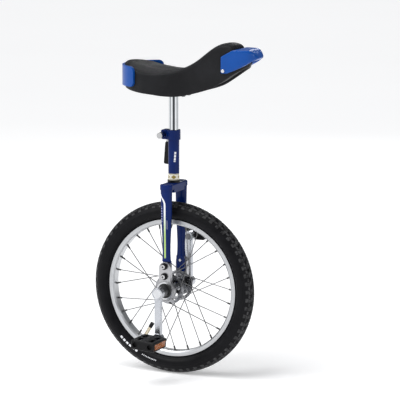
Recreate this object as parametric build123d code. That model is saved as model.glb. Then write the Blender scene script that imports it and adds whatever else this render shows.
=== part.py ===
from build123d import *
import os
from math import cos, pi, radians, sin, sqrt

# Unicycle. +X is the rider's forward, +Y the rider's left, +Z up. Millimetres.
# The origin is where the tyre touches the ground, straight below the hub.
# Heights named *_Z are above the ground; SPAN_* and *_Y are distances from the middle plane.

# ---- wheel ----
TYRE_RADIUS = 199.5
TYRE_HEIGHT = 47.0
TYRE_WIDTH = 44.0
TYRE_WALL = 2.6
TREAD_THICKNESS = 4.6
TYRE_SHOULDER_DROP = 8.0
TYRE_SHOULDER_HALF_WIDTH = 17.0
TYRE_CHEEK_DROP = 23.0
BEAD_WIDTH = 4.4
RIM_WIDTH = 26.0
RIM_WALL = 1.8
RIM_FLANGE_HEIGHT = 6.7
RIM_BED_DEPTH = 2.2
RIM_BED_THICKNESS = 2.7
RIM_BED_HALF_WIDTH = 6.8
RIM_SEAT_HALF_WIDTH = 8.0
RIM_CORNER = 3.2
TAPE_THICKNESS = 0.6
TAPE_WIDTH = 12.0
TUBE_WALL = 1.5
SEAT_GAP = 0.3

# ---- spokes ----
SPOKE_COUNT = 28
SPOKE_CROSSINGS = 2
SPOKE_DIAMETER = 2.0
SPOKE_PHASE = 1.5
SPOKE_HEAD_RADIUS = 1.8
SPOKE_HEAD_THICKNESS = 1.0
SPOKE_HOLE_CLEARANCE = 0.15
SPOKE_STAND_OFF = 1.5
SPOKE_INNER_STAND_OFF = 0.2
NIPPLE_RADIUS = 2.0
NIPPLE_HEAD_RADIUS = 2.7
NIPPLE_HEAD_HEIGHT = 1.0
NIPPLE_SINK = 0.75
NIPPLE_REACH = 10.0

# ---- valve ----
VALVE_ANGLE = 238.5
VALVE_HOLE_DEPTH = 20.0
VALVE_CAP_FLOOR = 1.0
VALVE_STEM_RADIUS = 3.9
VALVE_TIP_RADIUS = 3.0
VALVE_CAP_RADIUS = 4.6
VALVE_CAP_LENGTH = 12.0
VALVE_LENGTH = 42.6

# ---- hub and axle ----
FLANGE_Y = 24.5
FLANGE_RADIUS = 35.0
FLANGE_THICKNESS = 2.2
FLANGE_HOLE_CIRCLE = 31.5
FLANGE_WINDOWS = 5
FLANGE_WINDOW_CIRCLE = 22.8
FLANGE_WINDOW_WIDTH = 9.4
FLANGE_WINDOW_ARC = 28.0
FLANGE_WINDOW_PHASE = 23.0
BARREL_RADIUS = 15.0
BARREL_WAIST_RADIUS = 13.0
BARREL_WAIST_HALF_LENGTH = 14.0
BARREL_END_Y = 27.5
AXLE_RADIUS = 8.5
INNER_SPACER_RADIUS = 11.0
OUTER_SPACER_RADIUS = 12.5

# ---- ball bearings, one in each holder ----
BEARING_Y = 44.0
BEARING_WIDTH = 12.0
BEARING_RADIUS = 20.0
INNER_RACE_THICKNESS = 3.5
BEARING_BALLS = 8
BALL_RADIUS = 3.3
BALL_BITE = 0.8
BALL_CLEARANCE = 0.06
CAGE_THICKNESS = 2.4
CAGE_WIDTH = 8.0
SEAL_THICKNESS = 0.8
SEAL_SET_BACK = 0.2
SEAL_CLEARANCE = 0.15

# ---- bearing holders ----
HOLDER_WIDTH = 28.0
HOLDER_RING_THICKNESS = 4.0
HOLDER_TOP = 66.5
HOLDER_GROOVE_WIDTH = 1.4
HOLDER_GROOVE_DEPTH = 1.5
HOLDER_NECK_FILLET = 8.0
HOLDER_BOLT_HEIGHTS = (57.0, 33.6)
BOLT_RADIUS = 3.0
BOLT_HEAD_RADIUS = 5.0
BOLT_HEAD_HEIGHT = 6.0
BOLT_SOCKET_RADIUS = 2.9
BOLT_SOCKET_DEPTH = 3.0
BOLT_TAIL = 1.5
WASHER_RADIUS = 8.0
WASHER_THICKNESS = 3.5

# ---- fork ----
LEG_Y = 38.8
LEG_WALL = 1.4
# height above the axle, width along X, thickness along Y
LEG_LOWER_SECTIONS = ((67.0, 22.0, 13.0), (104.0, 19.5, 13.0), (137.0, 22.5, 14.5))
LEG_BULGE_BELOW_TOP = 47.6
LEG_BULGE = (26.5, 16.0)
LEG_TOP = (28.6, 17.0)
LEG_SOLID_FOOT = 9.0
TIP_THICKNESS = 5.0
TIP_WIDTH = 20.0
TIP_BOTTOM = 26.0
TIP_OVERLAP = 8.0
CROWN_CLEARANCE = 24.5
CROWN_HEIGHT = 20.0
CROWN_SHOULDER_HEIGHT = 12.4
CROWN_SHOULDER_LENGTH = 31.0
CROWN_SHOULDER_WIDTH = 19.6
CROWN_BRIDGE_MARGIN = 1.3
CROWN_BRIDGE_HALF_WIDTH = 27.0
CROWN_ROUNDING = 3.0
SEAT_TUBE_WALL = 1.53
SEAT_TUBE_LENGTH = 138.2
SEAT_TUBE_SINK = 18.0
SEAT_TUBE_SLOT_WIDTH = 2.4
SEAT_TUBE_SLOT_LENGTH = 34.0
CROWN_RING_WALL = 1.9
CROWN_RING_HEIGHT = 5.8

# ---- seatpost and its clamp ----
POST_RADIUS = 11.1
POST_WALL = 1.8
POST_LENGTH = 180.0
POST_FIT = 0.07
COLLAR_WALL = 2.8
COLLAR_OVER_TUBE = 0.5
COLLAR_HEIGHT = 22.4
COLLAR_LIP = 0.5
COLLAR_EAR_MARGIN = 6.0
COLLAR_EAR_HALF_WIDTH = 8.0
COLLAR_SLIT = 2.6
COLLAR_EAR_ROUNDING = 5.0
SKEWER_STAND_OFF = 9.8
SKEWER_DROP = 11.9
SKEWER_RADIUS = 2.5
SKEWER_HOLE_CLEARANCE = 0.15
RUNNING_FIT = 0.05
CAM_WASHER_RADIUS = 7.0
CAM_WASHER_THICKNESS = 2.0
CAM_RADIUS = 6.7
CAM_PIVOT_Y = 17.0
CAM_EYE_RADIUS = 4.6
CAM_EYE_WIDTH = 5.4
LEVER_PIN_RADIUS = 2.4
LEVER_WIDTH = 13.2
LEVER_LENGTH = 72.0
LEVER_TILT = 4.7
LEVER_CORE_WIDTH = 9.0
LEVER_CORE_THICKNESS = 2.6
LEVER_GRIP_THICKNESS = 6.4
LEVER_GRIP_START = 20.0
LEVER_GRIP_CORNER = 4.0
LEVER_GRIP_EDGE = 1.5
LEVER_GRIP_FLOOR = 3.0
LEVER_BRIDGE_LENGTH = 12.0
LEVER_STEM_INSET = 1.0
NUT_RADIUS = 7.0
NUT_LENGTH = 20.0
NUT_GRIP_GROOVES = 12
NUT_GROOVE_RADIUS = 0.6
NUT_FLOOR = 1.0

# ---- cranks and pedals ----
CRANK_LENGTH = 105.0
CRANK_INNER_Y = 75.0
CRANK_OUTER_Y = 89.0
CRANK_BOSS_RADIUS = 13.0
CRANK_ARM_WIDTH = 15.6
CRANK_ARM_THICKNESS = 12.4
CRANK_ARM_ROUNDING = 2.5
CRANK_EYE_RADIUS = 12.5
AXLE_SQUARE = 12.7
AXLE_SQUARE_END = 11.9
AXLE_SQUARE_LENGTH = 9.0
CRANK_BOLT_RADIUS = 4.0
CRANK_BOLT_LENGTH = 20.0
CRANK_BOLT_HEAD_RADIUS = 7.0
CRANK_BOLT_HEAD_HEIGHT = 3.0
DUST_CAP_RADIUS = 10.0
DUST_CAP_THICKNESS = 1.6
PEDAL_THREAD_RADIUS = 7.15
SPINDLE_RADIUS = 6.0
SPINDLE_COLLAR_RADIUS = 8.6
SPINDLE_COLLAR_WIDTH = 3.0
PEDAL_INNER_Y = 99.0
PEDAL_OUTER_Y = 167.0
PEDAL_LENGTH = 57.2
PEDAL_THICKNESS = 22.0
PEDAL_ROUNDING = 3.0
PEDAL_BARREL_RADIUS = 10.4
PEDAL_NECK_RADIUS = 11.0
PEDAL_NECK_LENGTH = 6.0
PEDAL_CAVITY_RADIUS = 8.4
PEDAL_CAVITY_LENGTH = 7.5
PEDAL_BAR_WIDTH = 8.6
PEDAL_CHEEK_WIDTH = 9.0
PEDAL_RIB_WIDTH = 5.0
PEDAL_HOLLOW_RADIUS = 6.0
PEDAL_HOLLOW_DEPTH = 5.5
PEDAL_HOLLOW_X = 18.2
BUSH_RADIUS = 7.8
BUSH_LENGTH = 11.0
BUSH_INSET = 2.0
BORE_CLEARANCE = 0.6
SPINDLE_NUT_RADIUS = 7.4
SPINDLE_NUT_LENGTH = 4.4
REFLECTOR_LENGTH = 54.0
REFLECTOR_HEIGHT = 13.0
REFLECTOR_THICKNESS = 2.4
END_CAP_THICKNESS = 1.6
PEDAL_NOSE_DOWN = 5.0

# ---- saddle ----
SADDLE_ABOVE_COLLAR = 87.3
SADDLE_LOBE_X = -35.0
SADDLE_LOBE_RADIUS = 79.0
# plan of one side from the lobe to the nose: forward place, half width
SADDLE_SIDE = ((50.0, 45.0), (130.0, 36.3), (166.0, 34.0))
SADDLE_NOSE_X = 190.0
# profile: forward place and height above the saddle plate
SADDLE_UNDERSIDE = ((-113.0, 16.0), (-26.0, 5.5), (2.0, 1.5), (40.0, 1.5), (101.0, 18.0), (131.0, 34.0),
                    (167.0, 58.0), (190.0, 70.5))
SADDLE_TOP = ((161.5, 111.0), (150.0, 116.6), (112.0, 109.0), (66.0, 74.0), (26.0, 55.0), (-15.0, 50.5),
              (-54.0, 54.5), (-113.0, 72.0))
SADDLE_NOSE_TOP = ((190.0, 100.0), (163.0, 100.4))
SADDLE_COVER_THICKNESS = 1.5
SADDLE_SHELL_THICKNESS = 5.0
SADDLE_SHELL_INSET = 7.0
BUMPER_THICKNESS = 5.7
BUMPER_BOTTOM = 15.0
BUMPER_TOP = 61.0
BUMPER_HALF_ARC = 71.0
BUMPER_ROUNDING = 12.0
# guard profile: forward place and height above the saddle plate
GUARD_PROFILE = ((134.0, 51.0), (134.0, 89.0), (162.0, 105.0), (199.0, 105.0), (209.0, 97.0),
                 (218.0, 87.0), (207.0, 80.5), (193.0, 72.5), (167.0, 58.5), (150.0, 51.5))
GUARD_WALL = 4.0
# plan of one side of the guard in front of its flanks: forward place, half width
GUARD_SIDE = ((166.0, 38.3), (200.0, 30.0), (218.0, 0.0))
GUARD_BACK_OVERLAP = 1.0
GRIP_START = 188.0
GRIP_END = 206.0
GRIP_HALF_WIDTH = 24.0
GRIP_CEILING = 94.0
SOFT_GAP = 0.3
PLATE_LENGTH = 78.0
PLATE_WIDTH = 44.0
PLATE_THICKNESS = 3.0
BASE_BOSS_HEIGHT = 8.0
STUD_SINK = 6.0
PLATE_STUD_X = 31.0
PLATE_STUD_Y = 15.0
STUD_RADIUS = 3.0
PLATE_NUT_RADIUS = 5.6
PLATE_NUT_HEIGHT = 5.0
STUD_TAIL = 1.0
PLATE_CORNER = 8.0
SCREW_RADIUS = 2.0
SCREW_HEAD_RADIUS = 4.0
SCREW_HEAD_HEIGHT = 1.6
SCREW_X = 140.5
SCREW_HEIGHT = 57.5

# ---- values that follow from the above ----
HUB_Z = TYRE_RADIUS
BEAD_SEAT_RADIUS = TYRE_RADIUS - TYRE_HEIGHT
RIM_FLANGE_RADIUS = BEAD_SEAT_RADIUS + RIM_FLANGE_HEIGHT
RIM_BED_RADIUS = BEAD_SEAT_RADIUS - RIM_BED_DEPTH
RIM_INNER_RADIUS = RIM_BED_RADIUS - RIM_BED_THICKNESS
RIM_INNER_HALF_WIDTH = RIM_WIDTH / 2 - RIM_WALL
SPOKE_RADIUS = SPOKE_DIAMETER / 2
FLANGE_INNER_Y = FLANGE_Y - FLANGE_THICKNESS / 2
FLANGE_OUTER_Y = FLANGE_Y + FLANGE_THICKNESS / 2
BEARING_INNER_Y = BEARING_Y - BEARING_WIDTH / 2
BEARING_OUTER_Y = BEARING_Y + BEARING_WIDTH / 2
BEARING_RACE_INNER = AXLE_RADIUS + INNER_RACE_THICKNESS
BEARING_RACE_OUTER = BEARING_RACE_INNER + 2 * (BALL_RADIUS - BALL_BITE)
BALL_CIRCLE = (BEARING_RACE_INNER + BEARING_RACE_OUTER) / 2
HOLDER_RING_RADIUS = BEARING_RADIUS + HOLDER_RING_THICKNESS
HOLDER_GROOVE_RADIUS = BEARING_RADIUS + HOLDER_RING_THICKNESS / 2
CRANK_BOSS_FLOOR_Y = CRANK_INNER_Y + AXLE_SQUARE_LENGTH
CROWN_BRIDGE_BOTTOM = TYRE_RADIUS + CROWN_CLEARANCE
CROWN_TOP = CROWN_BRIDGE_BOTTOM + CROWN_HEIGHT
SHOULDER_BOTTOM = CROWN_TOP - CROWN_SHOULDER_HEIGHT
LEG_SECTIONS = (*LEG_LOWER_SECTIONS, (SHOULDER_BOTTOM - LEG_BULGE_BELOW_TOP, *LEG_BULGE),
                (SHOULDER_BOTTOM, *LEG_TOP))
SEAT_TUBE_RADIUS = POST_RADIUS + POST_FIT + SEAT_TUBE_WALL
SEAT_TUBE_BOTTOM = CROWN_TOP - SEAT_TUBE_SINK
SEAT_TUBE_TOP = SEAT_TUBE_BOTTOM + SEAT_TUBE_LENGTH
CROWN_RING_RADIUS = SEAT_TUBE_RADIUS + CROWN_RING_WALL
CROWN_BRIDGE_LENGTH = 2 * (SEAT_TUBE_RADIUS + CROWN_BRIDGE_MARGIN)
COLLAR_RADIUS = SEAT_TUBE_RADIUS + COLLAR_WALL
COLLAR_TOP = SEAT_TUBE_TOP + COLLAR_OVER_TUBE
SKEWER_X = -SEAT_TUBE_RADIUS - SKEWER_STAND_OFF
SKEWER_Z = COLLAR_TOP - SKEWER_DROP
COLLAR_EAR_REACH = COLLAR_EAR_MARGIN - SKEWER_X
SADDLE_BASE_HEIGHT = COLLAR_TOP + SADDLE_ABOVE_COLLAR
LEVER_STEM_Y = CAM_PIVOT_Y + CAM_RADIUS - LEVER_CORE_THICKNESS / 2 - LEVER_STEM_INSET
LEVER_STEM_TOP = -CAM_EYE_RADIUS - LEVER_STEM_INSET
SPINDLE_END = PEDAL_OUTER_Y - PEDAL_CAVITY_LENGTH
BUSH_PLACES = (PEDAL_INNER_Y + BUSH_INSET, SPINDLE_END - BUSH_LENGTH)
POST_BOTTOM = SADDLE_BASE_HEIGHT - PLATE_THICKNESS - POST_LENGTH
COLLAR_BOTTOM = COLLAR_TOP - COLLAR_HEIGHT
SIDES = (-1, 1)
# longer than any cut needs to be
LONG = 1000.0


# ---- helpers ----
def at_axle(shape):
    """Lift a shape that was made about the origin so that it sits about the axle."""
    return Pos(0, 0, HUB_Z) * shape


def at_saddle(shape):
    """Lift a shape that was made about the origin so that the origin is on the saddle plate."""
    return Pos(0, 0, HUB_Z + SADDLE_BASE_HEIGHT) * shape


def rod(radius, start, end, x=0.0, height=0.0):
    """Cylinder along Y between two distances; its height is above the axle."""
    low, high = min(start, end), max(start, end)
    body = Cylinder(radius, high - low, align=(Align.CENTER, Align.CENTER, Align.MIN))
    return Pos(x, low, HUB_Z + height) * Rot(-90, 0, 0) * body


def collar_ring(radius, bore, start, end, x=0.0, height=0.0):
    """Rod along Y with a bore right through it."""
    return rod(radius, start, end, x, height) - rod(bore, start, end, x, height)


def post(radius, bottom, top, x=0.0, y=0.0):
    """Upright cylinder between two heights above the axle."""
    body = Cylinder(radius, top - bottom, align=(Align.CENTER, Align.CENTER, Align.MIN))
    return Pos(x, y, HUB_Z + bottom) * body


def block(x_range, y_range, height_range):
    """Box between two values on each axis; heights are above the axle."""
    lows = [min(r) for r in (x_range, y_range, height_range)]
    sizes = [max(r) - min(r) for r in (x_range, y_range, height_range)]
    box = Box(*sizes, align=(Align.MIN, Align.MIN, Align.MIN))
    return Pos(lows[0], lows[1], HUB_Z + lows[2]) * box


def across(shape):
    """The same shape on the other side of the middle plane."""
    return mirror(shape, about=Plane.XZ)


def half_turn(shape):
    """The same shape turned half a revolution about the axle."""
    return Pos(0, 0, HUB_Z) * Rot(0, 180, 0) * Pos(0, 0, -HUB_Z) * shape


def spun(face):
    """Section with radius along X and the axle's direction along Y, turned into a ring on the axle."""
    return at_axle(revolve(face, Axis.Y))


def around_axle(shape, angle):
    """Turn a shape about the axle; the angle goes from +X towards +Z."""
    return Pos(0, 0, HUB_Z) * Rot(0, -angle, 0) * Pos(0, 0, -HUB_Z) * shape


def between(start, end, radius):
    """Cylinder from one point to another."""
    line = Vector(*end) - Vector(*start)
    plane = Plane(origin=start, z_dir=line)
    return plane * Cylinder(radius, line.length, align=(Align.CENTER, Align.CENTER, Align.MIN))


def side_profile(points_below, points_above, half_width):
    """Solid whose side view is closed by a smooth lower line and a smooth upper line."""
    lower = Spline(*points_below)
    upper = Spline(*points_above)
    outline = lower + Line(points_below[-1], points_above[0])
    outline += upper + Line(points_above[-1], points_below[0])
    face = Plane.XZ * make_face(outline)
    return at_saddle(extrude(face, half_width, both=True))


def write(name, *solids):
    """Save one node; several separate solids may share it."""
    pieces = [solid for shape in solids for solid in shape.solids()]
    node = pieces[0] if len(pieces) == 1 else Compound(pieces)
    export_step(node, f"parts/{name}.step")


# ---- wheel ----
def casing_face(inset, crown_inset, foot_radius, foot_half_width, neck_half_width):
    """Closed section of the blown-up casing or of anything that follows it inside."""
    foot = (foot_radius, foot_half_width)
    neck = (RIM_FLANGE_RADIUS + 1, neck_half_width)
    cheek = (TYRE_RADIUS - TYRE_CHEEK_DROP, TYRE_WIDTH / 2 - inset)
    shoulder = (TYRE_RADIUS - TYRE_SHOULDER_DROP - inset, TYRE_SHOULDER_HALF_WIDTH - inset)
    crown = (TYRE_RADIUS - crown_inset, 0)
    far_shoulder = (shoulder[0], -shoulder[1])
    side = Line(foot, neck) + ThreePointArc(neck, cheek, shoulder)
    outline = side + ThreePointArc(shoulder, crown, far_shoulder) + mirror(side, about=Plane.XZ)
    outline += Line((foot[0], -foot[1]), foot)
    return make_face(outline)


def tyre():
    outer_half = RIM_INNER_HALF_WIDTH - SEAT_GAP
    outside = casing_face(0, 0, BEAD_SEAT_RADIUS, outer_half, outer_half)
    inside = casing_face(TYRE_WALL, TREAD_THICKNESS, BEAD_SEAT_RADIUS - 1, outer_half - BEAD_WIDTH,
                         outer_half - TYRE_WALL)
    return spun(outside - inside)


def inner_tube():
    foot = RIM_BED_RADIUS + TAPE_THICKNESS + SEAT_GAP
    foot_half = RIM_INNER_HALF_WIDTH - SEAT_GAP - BEAD_WIDTH - SEAT_GAP
    neck_half = RIM_INNER_HALF_WIDTH - SEAT_GAP - TYRE_WALL - SEAT_GAP
    skin = TYRE_WALL + SEAT_GAP
    outside = casing_face(skin, TREAD_THICKNESS + SEAT_GAP, foot, foot_half, neck_half)
    inside = casing_face(skin + TUBE_WALL, TREAD_THICKNESS + SEAT_GAP + TUBE_WALL, foot + TUBE_WALL,
                         foot_half - TUBE_WALL, neck_half - TUBE_WALL)
    return spun(outside - inside)


def valve_hole(radius):
    hole = Pos(RIM_INNER_RADIUS, 0, 0) * Rot(0, 90, 0) * Cylinder(radius, VALVE_HOLE_DEPTH)
    return around_axle(at_axle(hole), VALVE_ANGLE)


def rim_tape():
    face = Pos(RIM_BED_RADIUS + TAPE_THICKNESS / 2, 0) * Rectangle(TAPE_THICKNESS, TAPE_WIDTH)
    return spun(face) - valve_hole(VALVE_STEM_RADIUS + SEAT_GAP)


def rim():
    half = RIM_WIDTH / 2
    side = [(RIM_INNER_RADIUS, half - RIM_CORNER), (RIM_INNER_RADIUS + RIM_CORNER, half),
            (RIM_FLANGE_RADIUS, half), (RIM_FLANGE_RADIUS, RIM_INNER_HALF_WIDTH),
            (BEAD_SEAT_RADIUS, RIM_INNER_HALF_WIDTH), (BEAD_SEAT_RADIUS, RIM_SEAT_HALF_WIDTH),
            (RIM_BED_RADIUS, RIM_BED_HALF_WIDTH)]
    far_side = [(radius, -half_width) for radius, half_width in reversed(side)]
    hoop = spun(Polygon(*side, *far_side, align=None))
    hoop -= valve_hole(VALVE_STEM_RADIUS + SEAT_GAP)
    return hoop - [spoke_cutter(index) for index in range(SPOKE_COUNT)]


def spoke_side(index):
    """-1 for a spoke of the right flange, 1 for one of the left flange."""
    return -1 if index % 2 else 1


def spoke_lead(index):
    """-1 or 1: which way round the hub the spoke leans."""
    return -1 if (index - 1) // 2 % 2 == 0 else 1


def spoke_ends(index):
    """Elbow at the flange and seat in the rim, both about the axle."""
    rim_angle = radians(SPOKE_PHASE + index * 360 / SPOKE_COUNT)
    hub_angle = rim_angle + spoke_lead(index) * radians(SPOKE_CROSSINGS * 720 / SPOKE_COUNT)
    if spoke_lead(index) < 0:
        elbow_y = FLANGE_OUTER_Y + SPOKE_RADIUS + SPOKE_STAND_OFF
    else:
        elbow_y = FLANGE_INNER_Y - SPOKE_RADIUS - SPOKE_INNER_STAND_OFF
    hub_x, hub_z = FLANGE_HOLE_CIRCLE * cos(hub_angle), FLANGE_HOLE_CIRCLE * sin(hub_angle)
    elbow = Vector(hub_x, spoke_side(index) * elbow_y, HUB_Z + hub_z)
    seat = Vector(RIM_BED_RADIUS * cos(rim_angle), 0, HUB_Z + RIM_BED_RADIUS * sin(rim_angle))
    return elbow, seat


def spoke_point(index, back):
    """Place on the spoke's line, measured back from its seat in the rim."""
    elbow, seat = spoke_ends(index)
    return seat + (elbow - seat).normalized() * back


def spoke_head_y(index):
    """Outer face of the spoke's head, on the other side of the flange from the elbow."""
    if spoke_lead(index) < 0:
        return FLANGE_INNER_Y - SPOKE_HEAD_THICKNESS
    return FLANGE_OUTER_Y + SPOKE_HEAD_THICKNESS


def spoke(index):
    elbow, seat = spoke_ends(index)
    side = spoke_side(index)
    head_y = side * spoke_head_y(index)
    head_inner = head_y + side * spoke_lead(index) * -SPOKE_HEAD_THICKNESS
    height = elbow.Z - HUB_Z
    shaft = between(elbow, spoke_point(index, NIPPLE_SINK + NIPPLE_HEAD_HEIGHT), SPOKE_RADIUS)
    shaft += Pos(elbow) * Sphere(SPOKE_RADIUS)
    shaft += rod(SPOKE_RADIUS, elbow.Y, head_y, elbow.X, height)
    return shaft + rod(SPOKE_HEAD_RADIUS, head_y, head_inner, elbow.X, height)


def nipple(index):
    head_end = NIPPLE_SINK + NIPPLE_HEAD_HEIGHT
    tip = RIM_BED_THICKNESS + NIPPLE_REACH
    body = between(spoke_point(index, NIPPLE_SINK), spoke_point(index, tip), NIPPLE_RADIUS)
    body += between(spoke_point(index, NIPPLE_SINK), spoke_point(index, head_end), NIPPLE_HEAD_RADIUS)
    return body - between(spoke_point(index, head_end), spoke_point(index, tip + 1), SPOKE_RADIUS)


def spoke_cutter(index):
    """What a nipple takes out of the rim."""
    deep = 2 * RIM_BED_THICKNESS
    hole = between(spoke_point(index, -deep), spoke_point(index, deep), NIPPLE_RADIUS + SPOKE_HOLE_CLEARANCE)
    recess = between(spoke_point(index, -deep), spoke_point(index, NIPPLE_SINK + NIPPLE_HEAD_HEIGHT),
                     NIPPLE_HEAD_RADIUS + SPOKE_HOLE_CLEARANCE)
    return hole + recess


def valve_stem():
    start = RIM_BED_RADIUS + TAPE_THICKNESS + SEAT_GAP / 2
    end = RIM_INNER_RADIUS - VALVE_LENGTH
    shoulder = end + VALVE_CAP_LENGTH
    stem = Pos(shoulder, 0, 0) * Rot(0, 90, 0) * Cylinder(
        VALVE_STEM_RADIUS, start - shoulder, align=(Align.CENTER, Align.CENTER, Align.MIN))
    tip_length = VALVE_CAP_LENGTH - 2 * SEAT_GAP - VALVE_CAP_FLOOR
    tip = Pos(shoulder - tip_length, 0, 0) * Rot(0, 90, 0) * Cylinder(
        VALVE_TIP_RADIUS, tip_length, align=(Align.CENTER, Align.CENTER, Align.MIN))
    return around_axle(at_axle(stem + tip), VALVE_ANGLE)


def valve_cap():
    end = RIM_INNER_RADIUS - VALVE_LENGTH
    cap = Pos(end, 0, 0) * Rot(0, 90, 0) * Cylinder(
        VALVE_CAP_RADIUS, VALVE_CAP_LENGTH - SEAT_GAP, align=(Align.CENTER, Align.CENTER, Align.MIN))
    bore = Pos(end + VALVE_CAP_FLOOR, 0, 0) * Rot(0, 90, 0) * Cylinder(
        VALVE_TIP_RADIUS, VALVE_CAP_LENGTH, align=(Align.CENTER, Align.CENTER, Align.MIN))
    return around_axle(at_axle(cap - bore), VALVE_ANGLE)


def hub_barrel():
    barrel = rod(BARREL_RADIUS, -BARREL_END_Y, BARREL_END_Y)
    waist = BARREL_WAIST_HALF_LENGTH
    barrel -= collar_ring(BARREL_RADIUS + 1, BARREL_WAIST_RADIUS, -waist, waist)
    return barrel - rod(AXLE_RADIUS, -BARREL_END_Y, BARREL_END_Y)


def hub_flange(side):
    """Disc with arc-shaped windows; a spoke's hole is as wide as the spoke."""
    disc = collar_ring(FLANGE_RADIUS, BARREL_RADIUS, side * FLANGE_INNER_Y, side * FLANGE_OUTER_Y)
    half_arc = FLANGE_WINDOW_ARC / 2
    for window in range(FLANGE_WINDOWS):
        middle = FLANGE_WINDOW_PHASE + window * 360 / FLANGE_WINDOWS
        path = CenterArc((0, 0), FLANGE_WINDOW_CIRCLE, middle - half_arc, FLANGE_WINDOW_ARC)
        slot = Rot(90, 0, 0) * extrude(SlotArc(path, FLANGE_WINDOW_WIDTH), 2 * FLANGE_OUTER_Y, both=True)
        disc -= at_axle(slot)
    for index in range(SPOKE_COUNT):
        if spoke_side(index) == side:
            elbow = spoke_ends(index)[0]
            disc -= rod(SPOKE_RADIUS, side * (FLANGE_INNER_Y - 1), side * (FLANGE_OUTER_Y + 1), elbow.X,
                        elbow.Z - HUB_Z)
    return disc


def axle_square(side):
    """Tapered square end of the axle, the same as the hole in the crank."""
    start = Plane(origin=(0, side * CRANK_INNER_Y, HUB_Z), x_dir=(1, 0, 0), z_dir=(0, side, 0))
    end = Plane(origin=(0, side * CRANK_BOSS_FLOOR_Y, HUB_Z), x_dir=(1, 0, 0), z_dir=(0, side, 0))
    root = start * Rectangle(AXLE_SQUARE, AXLE_SQUARE)
    return loft([root, end * Rectangle(AXLE_SQUARE_END, AXLE_SQUARE_END)])


def axle():
    shaft = rod(AXLE_RADIUS, -CRANK_INNER_Y, CRANK_INNER_Y)
    for side in SIDES:
        shaft += axle_square(side)
        shaft -= rod(CRANK_BOLT_RADIUS, side * (CRANK_BOSS_FLOOR_Y - CRANK_BOLT_LENGTH),
                     side * (CRANK_BOSS_FLOOR_Y + 1))
    return shaft


def inner_spacer(side):
    return collar_ring(INNER_SPACER_RADIUS, AXLE_RADIUS, side * BARREL_END_Y, side * BEARING_INNER_Y)


def outer_spacer(side):
    return collar_ring(OUTER_SPACER_RADIUS, AXLE_RADIUS, side * BEARING_OUTER_Y, side * CRANK_INNER_Y)


# ---- ball bearings ----
def ball_groove():
    return at_axle(Pos(0, BEARING_Y, 0) * Rot(-90, 0, 0) * Torus(BALL_CIRCLE, BALL_RADIUS + BALL_CLEARANCE))


def inner_race():
    return collar_ring(BEARING_RACE_INNER, AXLE_RADIUS, BEARING_INNER_Y, BEARING_OUTER_Y) - ball_groove()


def outer_race():
    return collar_ring(BEARING_RADIUS, BEARING_RACE_OUTER, BEARING_INNER_Y, BEARING_OUTER_Y) - ball_groove()


def ball(index, radius):
    angle = radians(index * 360 / BEARING_BALLS)
    return at_axle(Pos(BALL_CIRCLE * cos(angle), BEARING_Y, BALL_CIRCLE * sin(angle)) * Sphere(radius))


def cage():
    half = CAGE_WIDTH / 2
    body = collar_ring(BALL_CIRCLE + CAGE_THICKNESS / 2, BALL_CIRCLE - CAGE_THICKNESS / 2, BEARING_Y - half,
                       BEARING_Y + half)
    for index in range(BEARING_BALLS):
        pocket = Pos(BALL_CIRCLE, BEARING_Y, 0) * Rot(0, 90, 0) * Cylinder(BALL_RADIUS + BALL_CLEARANCE,
                                                                           2 * CAGE_THICKNESS)
        body -= around_axle(at_axle(pocket), index * 360 / BEARING_BALLS)
    return body


def seals():
    faces = (BEARING_INNER_Y + SEAL_SET_BACK, BEARING_OUTER_Y - SEAL_SET_BACK - SEAL_THICKNESS)
    bore = BEARING_RACE_INNER + SEAL_CLEARANCE
    return [collar_ring(BEARING_RACE_OUTER, bore, face, face + SEAL_THICKNESS) for face in faces]


# ---- bearing holders ----
def left_bearing_holder():
    half = HOLDER_WIDTH / 2
    arch_centre = HOLDER_TOP - half
    plate = Pos(0, arch_centre / 2) * Rectangle(HOLDER_WIDTH, arch_centre)
    outline = plate + Pos(0, arch_centre) * Circle(half)
    outline += Circle(HOLDER_RING_RADIUS)
    neck_height = sqrt(HOLDER_RING_RADIUS ** 2 - half ** 2)
    necks = [v for v in outline.vertices() if abs(v.Y - neck_height) < 0.01]
    outline = fillet(necks, HOLDER_NECK_FILLET)
    body = extrude(Plane.XZ * outline, -BEARING_OUTER_Y) - extrude(Plane.XZ * outline, -BEARING_INNER_Y)
    body = at_axle(body) - rod(BEARING_RADIUS, BEARING_INNER_Y, BEARING_OUTER_Y)
    groove_floor = BEARING_OUTER_Y - HOLDER_GROOVE_DEPTH
    body -= collar_ring(HOLDER_GROOVE_RADIUS + HOLDER_GROOVE_WIDTH / 2,
                        HOLDER_GROOVE_RADIUS - HOLDER_GROOVE_WIDTH / 2, groove_floor, BEARING_OUTER_Y)
    for height in HOLDER_BOLT_HEIGHTS:
        body -= rod(BOLT_RADIUS, BEARING_INNER_Y, BEARING_OUTER_Y, 0, height)
    return body


def holder_bolt(height):
    """Socket-head bolt through washer and holder into the leg's tip."""
    head_start = BEARING_OUTER_Y + WASHER_THICKNESS
    head_end = head_start + BOLT_HEAD_HEIGHT
    tail = BEARING_INNER_Y - TIP_THICKNESS - BOLT_TAIL
    bolt = rod(BOLT_RADIUS, tail, head_start, 0, height)
    bolt += rod(BOLT_HEAD_RADIUS, head_start, head_end, 0, height)
    socket = extrude(RegularPolygon(BOLT_SOCKET_RADIUS, 6), BOLT_SOCKET_DEPTH)
    return bolt - Pos(0, head_end - BOLT_SOCKET_DEPTH, HUB_Z + height) * Rot(-90, 0, 0) * socket


def holder_washer(height):
    end = BEARING_OUTER_Y + WASHER_THICKNESS
    return collar_ring(WASHER_RADIUS, BOLT_RADIUS, BEARING_OUTER_Y, end, 0, height)


# ---- fork ----
def leg_loft(inset, sections):
    faces = [Pos(0, LEG_Y, HUB_Z + height) * Ellipse(width / 2 - inset, thickness / 2 - inset)
             for height, width, thickness in sections]
    return loft(faces)


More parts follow.
